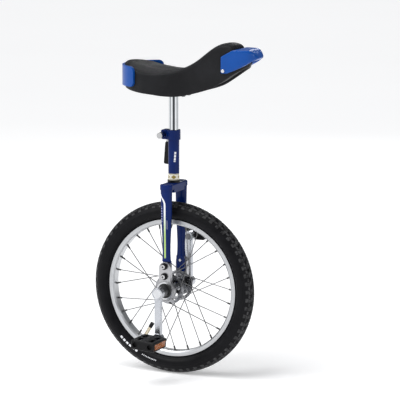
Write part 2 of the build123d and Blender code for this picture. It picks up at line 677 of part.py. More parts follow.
def left_leg():
    foot = LEG_SECTIONS[0][0]
    solid_foot = block((-LONG, LONG), (0, LONG), (foot, foot + LEG_SOLID_FOOT))
    hollow = leg_loft(LEG_WALL, LEG_SECTIONS) - solid_foot
    tube = leg_loft(0, LEG_SECTIONS) - hollow
    tip_top = foot + TIP_OVERLAP
    bend = TIP_BOTTOM + TIP_WIDTH / 2
    inner = BEARING_INNER_Y - TIP_THICKNESS
    tip = block((-TIP_WIDTH / 2, TIP_WIDTH / 2), (inner, BEARING_INNER_Y), (bend, foot))
    tip += rod(TIP_WIDTH / 2, inner, BEARING_INNER_Y, 0, bend)
    lug = block((-TIP_WIDTH / 2, TIP_WIDTH / 2), (inner, BEARING_INNER_Y), (foot, tip_top))
    leg = tube + tip + (lug & leg_loft(0, LEG_SECTIONS))
    for height in HOLDER_BOLT_HEIGHTS:
        leg -= rod(BOLT_RADIUS, inner, BEARING_INNER_Y, 0, height)
    return leg


def fork_crown():
    """Two oval shoulders over the legs and a deeper bridge between them."""
    oval = Ellipse(CROWN_SHOULDER_LENGTH / 2, CROWN_SHOULDER_WIDTH / 2)
    shoulder = extrude(oval, CROWN_SHOULDER_HEIGHT)
    shoulder = fillet(shoulder.edges().group_by(Axis.Z)[-1], CROWN_ROUNDING)
    half = CROWN_BRIDGE_LENGTH / 2
    beam = Rectangle(CROWN_BRIDGE_LENGTH, CROWN_TOP - SHOULDER_BOTTOM, align=(Align.CENTER, Align.MAX))
    beam = fillet(beam.vertices().group_by(Axis.Y)[-1], CROWN_ROUNDING)
    body = at_axle(Pos(0, 0, CROWN_TOP) * extrude(Plane.XZ * beam, LEG_Y, both=True))
    for side in SIDES:
        body += Pos(0, side * LEG_Y, HUB_Z + SHOULDER_BOTTOM) * shoulder
    bridge_half = CROWN_BRIDGE_HALF_WIDTH
    body += block((-half, half), (-bridge_half, bridge_half), (CROWN_BRIDGE_BOTTOM, SHOULDER_BOTTOM))
    return body - post(SEAT_TUBE_RADIUS, CROWN_BRIDGE_BOTTOM, CROWN_TOP)


def seat_tube():
    tube = post(SEAT_TUBE_RADIUS, SEAT_TUBE_BOTTOM, SEAT_TUBE_TOP)
    tube -= post(POST_RADIUS + POST_FIT, SEAT_TUBE_BOTTOM, SEAT_TUBE_TOP)
    half = SEAT_TUBE_SLOT_WIDTH / 2
    slot_bottom = SEAT_TUBE_TOP - SEAT_TUBE_SLOT_LENGTH
    return tube - block((-2 * SEAT_TUBE_RADIUS, 0), (-half, half), (slot_bottom, SEAT_TUBE_TOP))


def crown_ring():
    top = CROWN_TOP + CROWN_RING_HEIGHT
    return post(CROWN_RING_RADIUS, CROWN_TOP, top) - post(SEAT_TUBE_RADIUS, CROWN_TOP, top)


# ---- seat clamp ----
def clamp_collar():
    """Split ring with a lip over the tube's end and two ears at the back for the skewer."""
    ring = post(COLLAR_RADIUS, COLLAR_BOTTOM, COLLAR_TOP)
    ear_half = COLLAR_EAR_HALF_WIDTH
    ears = block((-COLLAR_EAR_REACH, 0), (-ear_half, ear_half), (COLLAR_BOTTOM, COLLAR_TOP))
    ears = fillet(ears.edges().filter_by(Axis.Y).group_by(Axis.X)[0], COLLAR_EAR_ROUNDING)
    ring += ears
    ring -= post(SEAT_TUBE_RADIUS, COLLAR_BOTTOM, SEAT_TUBE_TOP)
    ring -= post(POST_RADIUS + COLLAR_LIP, COLLAR_BOTTOM, COLLAR_TOP)
    slit = COLLAR_SLIT / 2
    ring -= block((-COLLAR_EAR_REACH, 0), (-slit, slit), (COLLAR_BOTTOM, COLLAR_TOP))
    return ring - rod(SKEWER_RADIUS + SKEWER_HOLE_CLEARANCE, -ear_half, ear_half, SKEWER_X, SKEWER_Z)


def tilted(shape):
    """Turn a shape of the lever end about the skewer, so that the lever hangs a little to the rear."""
    place = Pos(SKEWER_X, 0, HUB_Z + SKEWER_Z)
    return place * Rot(0, LEVER_TILT, 0) * shape


def x_rod(radius, half_length, y):
    return Pos(0, y, 0) * Rot(0, 90, 0) * Cylinder(radius, 2 * half_length)


def clamp_skewer():
    """Rod through both ears, with the cam lever's eye at its left end."""
    nut_end = COLLAR_EAR_HALF_WIDTH + SEAT_GAP + NUT_LENGTH - 2 * NUT_FLOOR
    shaft = rod(SKEWER_RADIUS, -nut_end, CAM_PIVOT_Y, SKEWER_X, SKEWER_Z)
    eye = tilted(x_rod(CAM_EYE_RADIUS, CAM_EYE_WIDTH / 2, CAM_PIVOT_Y))
    return shaft + eye - tilted(x_rod(LEVER_PIN_RADIUS, CAM_EYE_WIDTH, CAM_PIVOT_Y))


def lever_pin():
    return tilted(x_rod(LEVER_PIN_RADIUS, LEVER_WIDTH / 2, CAM_PIVOT_Y))


def cam_washer():
    start = COLLAR_EAR_HALF_WIDTH
    return collar_ring(CAM_WASHER_RADIUS, SKEWER_RADIUS + SKEWER_HOLE_CLEARANCE, start,
                       start + CAM_WASHER_THICKNESS, SKEWER_X, SKEWER_Z)


def lever_stem():
    """Flat steel core of the lever, from below the pin down into the grip."""
    length = LEVER_LENGTH + LEVER_STEM_TOP - LEVER_GRIP_FLOOR
    return Pos(0, LEVER_STEM_Y, LEVER_STEM_TOP) * Box(
        LEVER_CORE_WIDTH, LEVER_CORE_THICKNESS, length, align=(Align.CENTER, Align.CENTER, Align.MAX))


def clamp_lever():
    """Forked cam and flat stem; the stem hangs down beside the collar."""
    cam = x_rod(CAM_RADIUS, LEVER_WIDTH / 2, CAM_PIVOT_Y)
    slot_size = 2 * (CAM_RADIUS + SEAT_GAP)
    slot = Pos(0, CAM_PIVOT_Y, 0) * Box(CAM_EYE_WIDTH + 2 * SEAT_GAP, slot_size, slot_size)
    bridge = Pos(0, LEVER_STEM_Y, LEVER_STEM_TOP) * Box(
        LEVER_WIDTH, LEVER_CORE_THICKNESS, LEVER_BRIDGE_LENGTH - LEVER_GRIP_CORNER,
        align=(Align.CENTER, Align.CENTER, Align.MAX))
    lever = cam - slot + lever_stem() + bridge
    return tilted(lever - x_rod(LEVER_PIN_RADIUS + RUNNING_FIT, LEVER_WIDTH, CAM_PIVOT_Y))


def lever_grip():
    """Plastic paddle moulded round the lower part of the stem."""
    paddle = Pos(0, LEVER_STEM_Y, -LEVER_GRIP_START) * Box(
        LEVER_WIDTH, LEVER_GRIP_THICKNESS, LEVER_LENGTH - LEVER_GRIP_START,
        align=(Align.CENTER, Align.CENTER, Align.MAX))
    paddle = fillet(paddle.edges().filter_by(Axis.Y), LEVER_GRIP_CORNER)
    paddle = fillet(paddle.edges().filter_by(Axis.Z), LEVER_GRIP_EDGE)
    return tilted(paddle - lever_stem())


def clamp_nut():
    """Barrel nut with finger grooves on the skewer's right end."""
    start = -(COLLAR_EAR_HALF_WIDTH + SEAT_GAP)
    nut = rod(NUT_RADIUS, start - NUT_LENGTH, start, SKEWER_X, SKEWER_Z)
    for groove in range(NUT_GRIP_GROOVES):
        angle = groove * 2 * pi / NUT_GRIP_GROOVES
        nut -= rod(NUT_GROOVE_RADIUS, start - NUT_LENGTH, start, SKEWER_X + NUT_RADIUS * cos(angle),
                   SKEWER_Z + NUT_RADIUS * sin(angle))
    return nut - rod(SKEWER_RADIUS + RUNNING_FIT, start - NUT_LENGTH + NUT_FLOOR, start, SKEWER_X, SKEWER_Z)


# ---- cranks ----
def left_crank():
    """Crank that points straight up from the axle."""
    boss = rod(CRANK_BOSS_RADIUS, CRANK_INNER_Y, CRANK_OUTER_Y)
    eye = rod(CRANK_EYE_RADIUS, CRANK_INNER_Y + 1, CRANK_OUTER_Y, 0, CRANK_LENGTH)
    middle = (CRANK_INNER_Y + CRANK_OUTER_Y) / 2
    half_width, half_thick = CRANK_ARM_WIDTH / 2, CRANK_ARM_THICKNESS / 2
    arm = block((-half_width, half_width), (middle - half_thick, middle + half_thick), (0, CRANK_LENGTH))
    arm = fillet(arm.edges().filter_by(Axis.Z), CRANK_ARM_ROUNDING)
    crank = boss + arm + eye
    crank -= axle_square(1)
    crank -= rod(DUST_CAP_RADIUS, CRANK_BOSS_FLOOR_Y, CRANK_OUTER_Y)
    return crank - rod(PEDAL_THREAD_RADIUS, CRANK_INNER_Y, CRANK_OUTER_Y, 0, CRANK_LENGTH)


def crank_bolt():
    start = CRANK_BOSS_FLOOR_Y
    head = Pos(0, start, HUB_Z) * Rot(-90, 0, 0) * extrude(
        RegularPolygon(CRANK_BOLT_HEAD_RADIUS, 6), CRANK_BOLT_HEAD_HEIGHT)
    return head + rod(CRANK_BOLT_RADIUS, start - CRANK_BOLT_LENGTH, start)


def dust_cap():
    return rod(DUST_CAP_RADIUS, CRANK_OUTER_Y - DUST_CAP_THICKNESS, CRANK_OUTER_Y)


# ---- pedals: made on the left side at the top of the crank ----
def pedal_spindle():
    spindle = rod(PEDAL_THREAD_RADIUS, CRANK_INNER_Y + 1, CRANK_OUTER_Y, 0, CRANK_LENGTH)
    collar_end = CRANK_OUTER_Y + SPINDLE_COLLAR_WIDTH
    spindle += rod(SPINDLE_COLLAR_RADIUS, CRANK_OUTER_Y, collar_end, 0, CRANK_LENGTH)
    return spindle + rod(SPINDLE_RADIUS, collar_end, SPINDLE_END + SPINDLE_NUT_LENGTH, 0, CRANK_LENGTH)


def spindle_nut():
    start = SPINDLE_END + SEAT_GAP
    return collar_ring(SPINDLE_NUT_RADIUS, SPINDLE_RADIUS, start, SPINDLE_END + SPINDLE_NUT_LENGTH, 0,
                       CRANK_LENGTH)


def pedal_bushes():
    bore = SPINDLE_RADIUS + RUNNING_FIT
    return [collar_ring(BUSH_RADIUS, bore, place, place + BUSH_LENGTH, 0, CRANK_LENGTH)
            for place in BUSH_PLACES]


def pedal_body():
    """Moulded platform: barrel, front and rear bars, cheeks at both ends and a rib in the middle."""
    half_x, half_z = PEDAL_LENGTH / 2, PEDAL_THICKNESS / 2
    body = block((-half_x, half_x), (PEDAL_INNER_Y, PEDAL_OUTER_Y),
                 (CRANK_LENGTH - half_z, CRANK_LENGTH + half_z))
    body = fillet(body.edges().filter_by(Axis.Y), PEDAL_ROUNDING)
    body = fillet(body.edges().filter_by(Axis.Z), PEDAL_ROUNDING)
    bar_x = half_x - PEDAL_BAR_WIDTH
    middle = (PEDAL_INNER_Y + PEDAL_OUTER_Y) / 2
    window_ends = ((PEDAL_INNER_Y + PEDAL_CHEEK_WIDTH, middle - PEDAL_RIB_WIDTH / 2),
                   (middle + PEDAL_RIB_WIDTH / 2, PEDAL_OUTER_Y - PEDAL_CHEEK_WIDTH))
    for side in SIDES:
        for ends in window_ends:
            body -= block((side * PEDAL_BARREL_RADIUS, side * bar_x), ends, (0, 2 * CRANK_LENGTH))
        body -= rod(PEDAL_HOLLOW_RADIUS, PEDAL_OUTER_Y - PEDAL_HOLLOW_DEPTH, PEDAL_OUTER_Y,
                    side * PEDAL_HOLLOW_X, CRANK_LENGTH)
        body -= reflector(side, SEAT_GAP / 2)
    neck = PEDAL_INNER_Y - PEDAL_NECK_LENGTH
    body += rod(PEDAL_NECK_RADIUS, neck, PEDAL_INNER_Y, 0, CRANK_LENGTH)
    body -= rod(SPINDLE_RADIUS + BORE_CLEARANCE, neck, PEDAL_OUTER_Y, 0, CRANK_LENGTH)
    for place in BUSH_PLACES:
        body -= rod(BUSH_RADIUS, place, place + BUSH_LENGTH, 0, CRANK_LENGTH)
    return body - rod(PEDAL_CAVITY_RADIUS, SPINDLE_END, PEDAL_OUTER_Y, 0, CRANK_LENGTH)


def reflector(side, grow=0.0):
    """Plate let into the front or rear face of a pedal; grow makes the pocket for it."""
    middle = (PEDAL_INNER_Y + PEDAL_OUTER_Y) / 2
    half_y, half_z = REFLECTOR_LENGTH / 2 + grow, REFLECTOR_HEIGHT / 2 + grow
    face = side * PEDAL_LENGTH / 2
    back = side * (PEDAL_LENGTH / 2 - REFLECTOR_THICKNESS)
    return block((back, face), (middle - half_y, middle + half_y),
                 (CRANK_LENGTH - half_z, CRANK_LENGTH + half_z))


def pedal_end_cap():
    return rod(PEDAL_CAVITY_RADIUS, PEDAL_OUTER_Y - END_CAP_THICKNESS, PEDAL_OUTER_Y, 0, CRANK_LENGTH)


def pitched(shape, angle):
    """Turn part of a pedal about its spindle, nose down for a positive angle."""
    place = Pos(0, 0, HUB_Z + CRANK_LENGTH)
    return place * Rot(0, angle, 0) * place.inverse() * shape


# ---- saddle ----
def saddle_plan(grow):
    """Plan of the pad: a round lobe behind and a narrow nose in front."""
    lobe = SADDLE_LOBE_RADIUS + grow
    rear = ThreePointArc((SADDLE_LOBE_X, lobe), (SADDLE_LOBE_X - lobe, 0), (SADDLE_LOBE_X, -lobe))
    side_points = [(x, half + grow) for x, half in SADDLE_SIDE]
    flank = Spline((SADDLE_LOBE_X, lobe), *side_points, (SADDLE_NOSE_X + grow, 0),
                   tangents=((1, 0), (0, -1)))
    return make_face(rear + flank + mirror(flank, about=Plane.XZ))


def saddle_form(grow):
    """The pad's outer form, larger or smaller by one distance all round."""
    underside = [(x, z - grow) for x, z in SADDLE_UNDERSIDE]
    underside[0] = (underside[0][0] - grow - 2, underside[0][1])
    underside[-1] = (underside[-1][0] + grow + 2, underside[-1][1])
    nose_top = [(SADDLE_NOSE_TOP[0][0] + grow + 2, SADDLE_NOSE_TOP[0][1] + grow),
                (SADDLE_NOSE_TOP[1][0] + grow, SADDLE_NOSE_TOP[1][1] + grow)]
    top = [(x, z + grow) for x, z in SADDLE_TOP]
    top[0] = (top[0][0] + grow, top[0][1])
    top[-1] = (top[-1][0] - grow - 2, top[-1][1])
    outline = Spline(*underside) + Line(underside[-1], nose_top[0]) + Line(*nose_top)
    outline += Line(nose_top[1], top[0]) + Spline(*top) + Line(top[-1], underside[0])
    side_view = extrude(Plane.XZ * make_face(outline), 2 * SADDLE_LOBE_RADIUS, both=True)
    top_view = extrude(saddle_plan(grow), LONG)
    return at_saddle(side_view & top_view)


def stud_places():
    return [(x, y) for x in (-PLATE_STUD_X, PLATE_STUD_X) for y in (-PLATE_STUD_Y, PLATE_STUD_Y)]


def saddle_studs():
    """Threaded studs moulded into the base, one at each corner of the plate."""
    bottom = SADDLE_BASE_HEIGHT - PLATE_THICKNESS - PLATE_NUT_HEIGHT - STUD_TAIL
    return [post(STUD_RADIUS, bottom, SADDLE_BASE_HEIGHT + STUD_SINK, x, y) for x, y in stud_places()]


def plate_nuts():
    top = SADDLE_BASE_HEIGHT - PLATE_THICKNESS
    nut = extrude(RegularPolygon(PLATE_NUT_RADIUS, 6) - Circle(STUD_RADIUS), -PLATE_NUT_HEIGHT)
    return [Pos(x, y, HUB_Z + top) * nut for x, y in stud_places()]


def saddle_plate():
    """Steel plate welded to the seatpost's top."""
    face = RectangleRounded(PLATE_LENGTH, PLATE_WIDTH, PLATE_CORNER)
    for place in stud_places():
        face -= Pos(*place) * Circle(STUD_RADIUS)
    return at_axle(Pos(0, 0, SADDLE_BASE_HEIGHT) * extrude(face, -PLATE_THICKNESS))


def seatpost():
    top = SADDLE_BASE_HEIGHT - PLATE_THICKNESS
    return post(POST_RADIUS, POST_BOTTOM, top) - post(POST_RADIUS - POST_WALL, POST_BOTTOM, top)


def base_blank(below=0.0):
    """Moulded shell along the pad's underside, let into it, with a flat boss for the plate.

    A shell that reaches further below cuts its place out of the cover.
    """
    lower = [(x, z - below) for x, z in SADDLE_UNDERSIDE]
    upper = [(x, z + SADDLE_SHELL_THICKNESS) for x, z in reversed(SADDLE_UNDERSIDE)]
    shell = side_profile(lower, upper, 2 * SADDLE_LOBE_RADIUS)
    shell &= at_saddle(extrude(saddle_plan(-SADDLE_SHELL_INSET), LONG))
    half_x, half_y = PLATE_LENGTH / 2, PLATE_WIDTH / 2
    boss_top = SADDLE_BASE_HEIGHT + BASE_BOSS_HEIGHT
    return shell + block((-half_x, half_x), (-half_y, half_y), (SADDLE_BASE_HEIGHT, boss_top))


def rear_bumper():
    """Curved guard round the back of the lobe, its corners rounded."""
    inner = SADDLE_LOBE_RADIUS + SOFT_GAP
    outer = inner + BUMPER_THICKNESS
    start, arc = 180 - BUMPER_HALF_ARC, 2 * BUMPER_HALF_ARC
    outline = CenterArc((0, 0), inner, start, arc) + CenterArc((0, 0), outer, start, arc)
    for angle in (radians(start), radians(start + arc)):
        outline += Line((inner * cos(angle), inner * sin(angle)), (outer * cos(angle), outer * sin(angle)))
    bumper = extrude(make_face(outline), BUMPER_TOP - BUMPER_BOTTOM)
    corners = [e for e in bumper.edges().filter_by(GeomType.LINE) if abs(e.tangent_at(0).Z) < 0.5]
    bumper = fillet(corners, BUMPER_ROUNDING)
    return at_saddle(Pos(SADDLE_LOBE_X, 0, BUMPER_BOTTOM) * bumper)


def front_guard():
    """Nose cap with flanks along the pad, hollowed from below to make a handle."""
    flank_x = GUARD_PROFILE[0][0] - GUARD_BACK_OVERLAP
    flank_half = SADDLE_SIDE[1][1] + GUARD_WALL
    flank = Spline((flank_x, flank_half), *GUARD_SIDE, tangents=((1, 0), (0, -1)))
    back = Line((flank_x, flank_half), (flank_x, -flank_half))
    plan = make_face(flank + mirror(flank, about=Plane.XZ) + back)
    profile = extrude(Plane.XZ * Polygon(*GUARD_PROFILE, align=None), flank_half, both=True)
    guard = at_saddle(profile & extrude(plan, LONG)) - saddle_form(SOFT_GAP)
    guard -= block((GRIP_START, GRIP_END), (-GRIP_HALF_WIDTH, GRIP_HALF_WIDTH),
                   (SADDLE_BASE_HEIGHT, SADDLE_BASE_HEIGHT + GRIP_CEILING))
    for side in SIDES:
        guard -= rod(SCREW_RADIUS, 0, side * 2 * flank_half, SCREW_X, SADDLE_BASE_HEIGHT + SCREW_HEIGHT)
    return guard


def guard_screws():
    """Screws through the rear lower corners of the guard's flanks."""
    face = SADDLE_SIDE[1][1] + GUARD_WALL
    inner = SADDLE_SIDE[1][1]
    pad = saddle_form(0)
    height = SADDLE_BASE_HEIGHT + SCREW_HEIGHT
    return [rod(SCREW_RADIUS, side * inner, side * face, SCREW_X, height) - pad
            + rod(SCREW_HEAD_RADIUS, side * face, side * (face + SCREW_HEAD_HEIGHT), SCREW_X, height)
            for side in SIDES]


# ---- nodes ----
def both_sides(shape):
    return across(shape), shape


def write_wheel():
    spokes = range(SPOKE_COUNT)
    write("tyre", tyre())
    write("inner_tube", inner_tube())
    write("rim_tape", rim_tape())
    write("rim", rim())
    write("spokes", *[spoke(index) for index in spokes])
    write("spoke_nipples", *[nipple(index) for index in spokes])
    write("valve_stem", valve_stem())
    write("valve_cap", valve_cap())
    write("hub_barrel", hub_barrel())
    write("right_hub_flange", hub_flange(-1))
    write("left_hub_flange", hub_flange(1))
    write("axle", axle())
    write("inner_spacers", *[inner_spacer(side) for side in SIDES])
    write("outer_spacers", *[outer_spacer(side) for side in SIDES])
    write("bearing_inner_races", *both_sides(inner_race()))
    write("crank_bolts", *[half_turn(shape) for shape in both_sides(crank_bolt())])
    write("dust_caps", *both_sides(dust_cap()))


def write_bearings():
    balls = [ball(index, BALL_RADIUS) for index in range(BEARING_BALLS)]
    write("bearing_outer_races", *both_sides(outer_race()))
    write("bearing_balls", *balls, *[across(shape) for shape in balls])
    write("bearing_cages", *both_sides(cage()))
    write("bearing_seals", *seals(), *[across(shape) for shape in seals()])


def write_fork():
    right_leg, leg = both_sides(left_leg())
    right_holder, holder = both_sides(left_bearing_holder())
    bolts = [holder_bolt(height) for height in HOLDER_BOLT_HEIGHTS]
    washers = [holder_washer(height) for height in HOLDER_BOLT_HEIGHTS]
    write("right_leg", right_leg)
    write("left_leg", leg)
    write("right_bearing_holder", right_holder)
    write("left_bearing_holder", holder)
    write("holder_bolts", *bolts, *[across(shape) for shape in bolts])
    write("holder_washers", *washers, *[across(shape) for shape in washers])
    write("fork_crown", fork_crown())
    write("seat_tube", seat_tube())
    write("crown_ring", crown_ring())


def write_clamp():
    write("clamp_collar", clamp_collar())
    write("clamp_skewer", clamp_skewer())
    write("cam_washer", cam_washer())
    write("lever_pin", lever_pin())
    write("clamp_lever", clamp_lever())
    write("lever_grip", lever_grip())
    write("clamp_nut", clamp_nut())


def write_crank_and_pedal(name, place, pitch):
    """place carries a shape from the left side above the axle to where it belongs."""
    write(f"{name}_crank", place(left_crank()))
    write(f"{name}_pedal_spindle", place(pedal_spindle()))
    write(f"{name}_pedal_body", place(pitched(pedal_body(), pitch)))
    write(f"{name}_pedal_bushes", *[place(bush) for bush in pedal_bushes()])
    write(f"{name}_pedal_reflectors", *[place(pitched(reflector(side), pitch)) for side in SIDES])
    write(f"{name}_pedal_end_cap", place(pedal_end_cap()))


def to_right(shape):
    """Carry a shape from the left side above the axle to the right side below it."""
    return half_turn(across(shape))


def write_saddle():
    base = base_blank()
    inside = saddle_form(-SADDLE_COVER_THICKNESS)
    write("seatpost", seatpost())
    write("saddle_plate", saddle_plate())
    write("saddle_studs", *saddle_studs())
    write("plate_nuts", *plate_nuts())
    write("saddle_base", base - saddle_studs())
    write("saddle_foam", inside - base)
    write("saddle_cover", saddle_form(0) - inside - base_blank(SADDLE_SHELL_THICKNESS))
    write("rear_bumper", rear_bumper())
    write("front_guard", front_guard())
    write("guard_screws", *guard_screws())


def main():
    os.makedirs("parts", exist_ok=True)
    write_wheel()
    write_bearings()
    write_fork()
    write_clamp()
    write_crank_and_pedal("left", lambda shape: shape, 0)
    write_crank_and_pedal("right", to_right, PEDAL_NOSE_DOWN)
    write("spindle_nuts", spindle_nut(), to_right(spindle_nut()))
    write_saddle()


main()
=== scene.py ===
"""Looks of a small-wheel unicycle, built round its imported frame."""
from math import cos, hypot, pi, radians, sin

import bmesh
import bpy
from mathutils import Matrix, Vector


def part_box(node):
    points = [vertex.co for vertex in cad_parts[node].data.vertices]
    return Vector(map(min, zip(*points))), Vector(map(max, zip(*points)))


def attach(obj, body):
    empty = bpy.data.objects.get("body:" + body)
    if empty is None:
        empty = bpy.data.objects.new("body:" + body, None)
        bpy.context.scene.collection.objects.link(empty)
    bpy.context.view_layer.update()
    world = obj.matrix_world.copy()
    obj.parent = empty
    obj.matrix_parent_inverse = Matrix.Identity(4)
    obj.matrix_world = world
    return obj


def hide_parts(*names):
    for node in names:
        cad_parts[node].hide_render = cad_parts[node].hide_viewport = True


bl_info = {
    "name": "Unicycle looks",
    "version": (1, 0, 0),
    "blender": (4, 5, 0),
    "location": "3D View > Sidebar > Unicycle",
    "description": "Finishes, tyre tread and padded saddle of a small-wheel unicycle",
    "category": "Object",
}

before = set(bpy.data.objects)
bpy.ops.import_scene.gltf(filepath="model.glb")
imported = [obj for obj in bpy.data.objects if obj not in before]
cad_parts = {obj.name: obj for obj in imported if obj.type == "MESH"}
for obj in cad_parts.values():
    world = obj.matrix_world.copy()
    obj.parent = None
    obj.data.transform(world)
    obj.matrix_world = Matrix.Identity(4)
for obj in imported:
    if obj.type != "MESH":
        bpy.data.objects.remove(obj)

MM = 0.001
HUB = sum(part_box("hub_barrel"), Vector()) / 2
FLOOR_REACH = 60.0
WHITE = (0.86, 0.87, 0.9, 1)
DEEP_BLACK = (0.004, 0.004, 0.004, 1)
ROAD_DUST = (0.075, 0.075, 0.078, 1)
# seatpost plating colour, then its painted reflections: darker and greyer lines along the post, how many
# there are and where they turn
POST_BRIGHT = (0.9, 0.93, 0.95)
POST_GREY_REFLECTION = (0.2, 0.21, 0.22, 1)
POST_DARK_REFLECTION = (0.012, 0.015, 0.02, 1)
POST_REFLECTION_LINES = 4
POST_REFLECTION_TURN = 0.21


def colour_property(name, description, default):
    return bpy.props.FloatVectorProperty(
        name=name, description=description, default=default, subtype="COLOR", min=0, max=1)


def length_property(name, description, default):
    return bpy.props.FloatProperty(
        name=name, description=description, default=default, unit="LENGTH", subtype="DISTANCE", min=0)


# ---- materials ----
def tinted(colour, factor, lift=0):
    """The colour made lighter or darker, opaque."""
    return [min(1, value * factor + lift) for value in colour[:3]] + [1]


class Wire:
    """An output socket that adds Math nodes when it is used in an expression."""

    def __init__(self, finish, socket):
        self.finish = finish
        self.socket = socket

    def math(self, operation, *others):
        return self.finish.node("ShaderNodeMath", {"operation": operation}, dict(enumerate((self, *others))))

    def reflected(self, operation, other):
        return self.finish.node("ShaderNodeMath", {"operation": operation}, {0: other, 1: self})

    def __add__(self, other):
        return self.math("ADD", other)

    def __sub__(self, other):
        return self.math("SUBTRACT", other)

    def __mul__(self, other):
        return self.math("MULTIPLY", other)

    def __truediv__(self, other):
        return self.math("DIVIDE", other)

    def __pow__(self, other):
        return self.math("POWER", other)

    def __mod__(self, other):
        return self.math("FLOORED_MODULO", other)

    def __radd__(self, other):
        return self.reflected("ADD", other)

    def __rsub__(self, other):
        return self.reflected("SUBTRACT", other)

    def __rmul__(self, other):
        return self.reflected("MULTIPLY", other)

    def __rtruediv__(self, other):
        return self.reflected("DIVIDE", other)

    def __neg__(self):
        return self.math("MULTIPLY", -1)

    def __abs__(self):
        return self.math("ABSOLUTE")

    def rise(self, low, high):
        """0 below low, 1 above high, smooth between them."""
        return self.finish.node("ShaderNodeMapRange", {"interpolation_type": "SMOOTHSTEP"},
                                {"Value": self, "From Min": low, "From Max": high})

    def band(self, middle, half, soft):
        """1 within half of the middle, with soft ends."""
        return 1 - abs(self - middle).rise(half - soft, half + soft)


class Finish:
    """A procedural material under one Principled shader."""

    def __init__(self, name, fixed):
        self.material = bpy.data.materials.new(name)
        self.material.use_nodes = True
        self.tree = self.material.node_tree
        self.tree.nodes.clear()
        self.shader = self.tree.nodes.new("ShaderNodeBsdfPrincipled")
        output = self.tree.nodes.new("ShaderNodeOutputMaterial")
        self.tree.links.new(self.shader.outputs["BSDF"], output.inputs["Surface"])
        self.give(self.shader, fixed)
        self.place = self.node("ShaderNodeTexCoord", {}, {}, "Object")
        parts = [self.node("ShaderNodeSeparateXYZ", {}, {0: self.place}, axis) for axis in "XYZ"]
        self.x, self.y, self.z = parts

    def give(self, node, values):
        for key, value in values.items():
            if isinstance(value, Wire):
                self.tree.links.new(value.socket, node.inputs[key])
            else:
                node.inputs[key].default_value = value

    def feed(self, **values):
        """Values of the shader's sockets, such as Base_Color."""
        self.give(self.shader, {key.replace("_", " "): value for key, value in values.items()})
        return self

    def node(self, kind, settings, values, output=0):
        made = self.tree.nodes.new(kind)
        for key, value in settings.items():
            setattr(made, key, value)
        self.give(made, values)
        return Wire(self, made.outputs[output])

    def noise(self, scale, detail=3, stretch=None):
        """Noise at so many features a metre, or stretched by a factor along each axis."""
        place = self.place
        if stretch:
            place = self.vector("MULTIPLY", self.place, stretch)
        return self.node("ShaderNodeTexNoise", {}, {"Vector": place, "Scale": scale, "Detail": detail})

    def cells(self, scale, feature="F1"):
        values = {"Vector": self.place, "Scale": scale}
        return self.node("ShaderNodeTexVoronoi", {"feature": feature}, values)

    def vector(self, operation, first, second):
        return self.node("ShaderNodeVectorMath", {"operation": operation}, {0: first, 1: second})

    def joined(self, x, y, z):
        return self.node("ShaderNodeCombineXYZ", {}, {0: x, 1: y, 2: z})

    def mix(self, share, first, second):
        return self.node("ShaderNodeMix", {"data_type": "RGBA"}, {0: share, 6: first, 7: second}, 2)

    def mottled(self, colour, spread, scale=30):
        """The colour, a little darker and lighter from place to place."""
        share = self.noise(scale).rise(0.3, 0.7)
        return self.mix(share, tinted(colour, 1 - spread), tinted(colour, 1 + spread))

    def rounded(self, radius):
        """Normal of the surface with its edges rounded off."""
        return self.node("ShaderNodeBevel", {"samples": 4}, {"Radius": radius})

    def worn_edge(self, rounded):
        """1 along the edges, broken up, and 0 on the faces."""
        face = self.node("ShaderNodeNewGeometry", {}, {}, "Normal")
        values = {0: rounded, 1: face}
        alike = self.node("ShaderNodeVectorMath", {"operation": "DOT_PRODUCT"}, values, "Value")
        return (1 - alike).rise(0.02, 0.2) * self.noise(260).rise(0.35, 0.65)

    def bump(self, height, depth, normal=None):
        values = {"Height": height, "Distance": depth}
        if normal:
            values["Normal"] = normal
        return self.node("ShaderNodeBump", {}, values)

    def axle_radius(self):
        """Distance from the axle's line."""
        height = self.z - HUB.z
        return (self.x * self.x + height * height) ** 0.5

    def axle_angle(self):
        """Turn about the axle in radians, 0 at the front."""
        return (self.z - HUB.z).math("ARCTAN2", self.x)


def metal(name, colour, roughness, brushing=(1, 1, 1), scratch=0.00002, edge=0.5 * MM):
    """Bare metal with fine tool marks, faint stains and brighter edges."""
    finish = Finish(name, {"Metallic": 1.0})
    rounded = finish.rounded(edge)
    lines = finish.noise(1500, 2, brushing)
    stains = finish.noise(38, 4)
    light = tinted(colour, 1.15)
    shade = finish.mix(finish.worn_edge(rounded) * 0.6, finish.mottled(colour, 0.06, 60), light)
    rough = roughness * (0.75 + 0.3 * stains + 0.4 * lines)
    return finish.feed(Base_Color=shade, Roughness=rough, Normal=finish.bump(lines, scratch, rounded))


def turned(name, colour, roughness):
    """Metal turned in a lathe, with fine rings about the axle."""
    finish = Finish(name, {"Metallic": 1.0})
    rounded = finish.rounded(0.4 * MM)
    place = finish.joined(finish.axle_radius() * 3000, finish.y * 3000, 0)
    rings = finish.node("ShaderNodeTexNoise", {}, {"Vector": place, "Scale": 1, "Detail": 2})
    stains = finish.noise(55, 4)
    rough = roughness * (0.7 + 0.35 * rings + 0.4 * stains)
    return finish.feed(Base_Color=finish.mottled(colour, 0.07, 90), Roughness=rough,
                       Normal=finish.bump(rings, 0.00002, rounded))


def plastic(name, colour, roughness, grain=1400, relief=0.00006, edge=0.7 * MM):
    """Moulded plastic with a fine pebbled skin and paler rubbed edges."""
    finish = Finish(name, {"Specular IOR Level": 0.2})
    rounded = finish.rounded(edge)
    pebbles = finish.cells(grain)
    pale = tinted(colour, 1.6, 0.01)
    shade = finish.mix(finish.worn_edge(rounded) * 0.5, finish.mottled(colour, 0.15), pale)
    rough = roughness * (0.85 + 0.3 * finish.noise(120, 4))
    return finish.feed(Base_Color=shade, Roughness=rough, Normal=finish.bump(pebbles, relief, rounded))


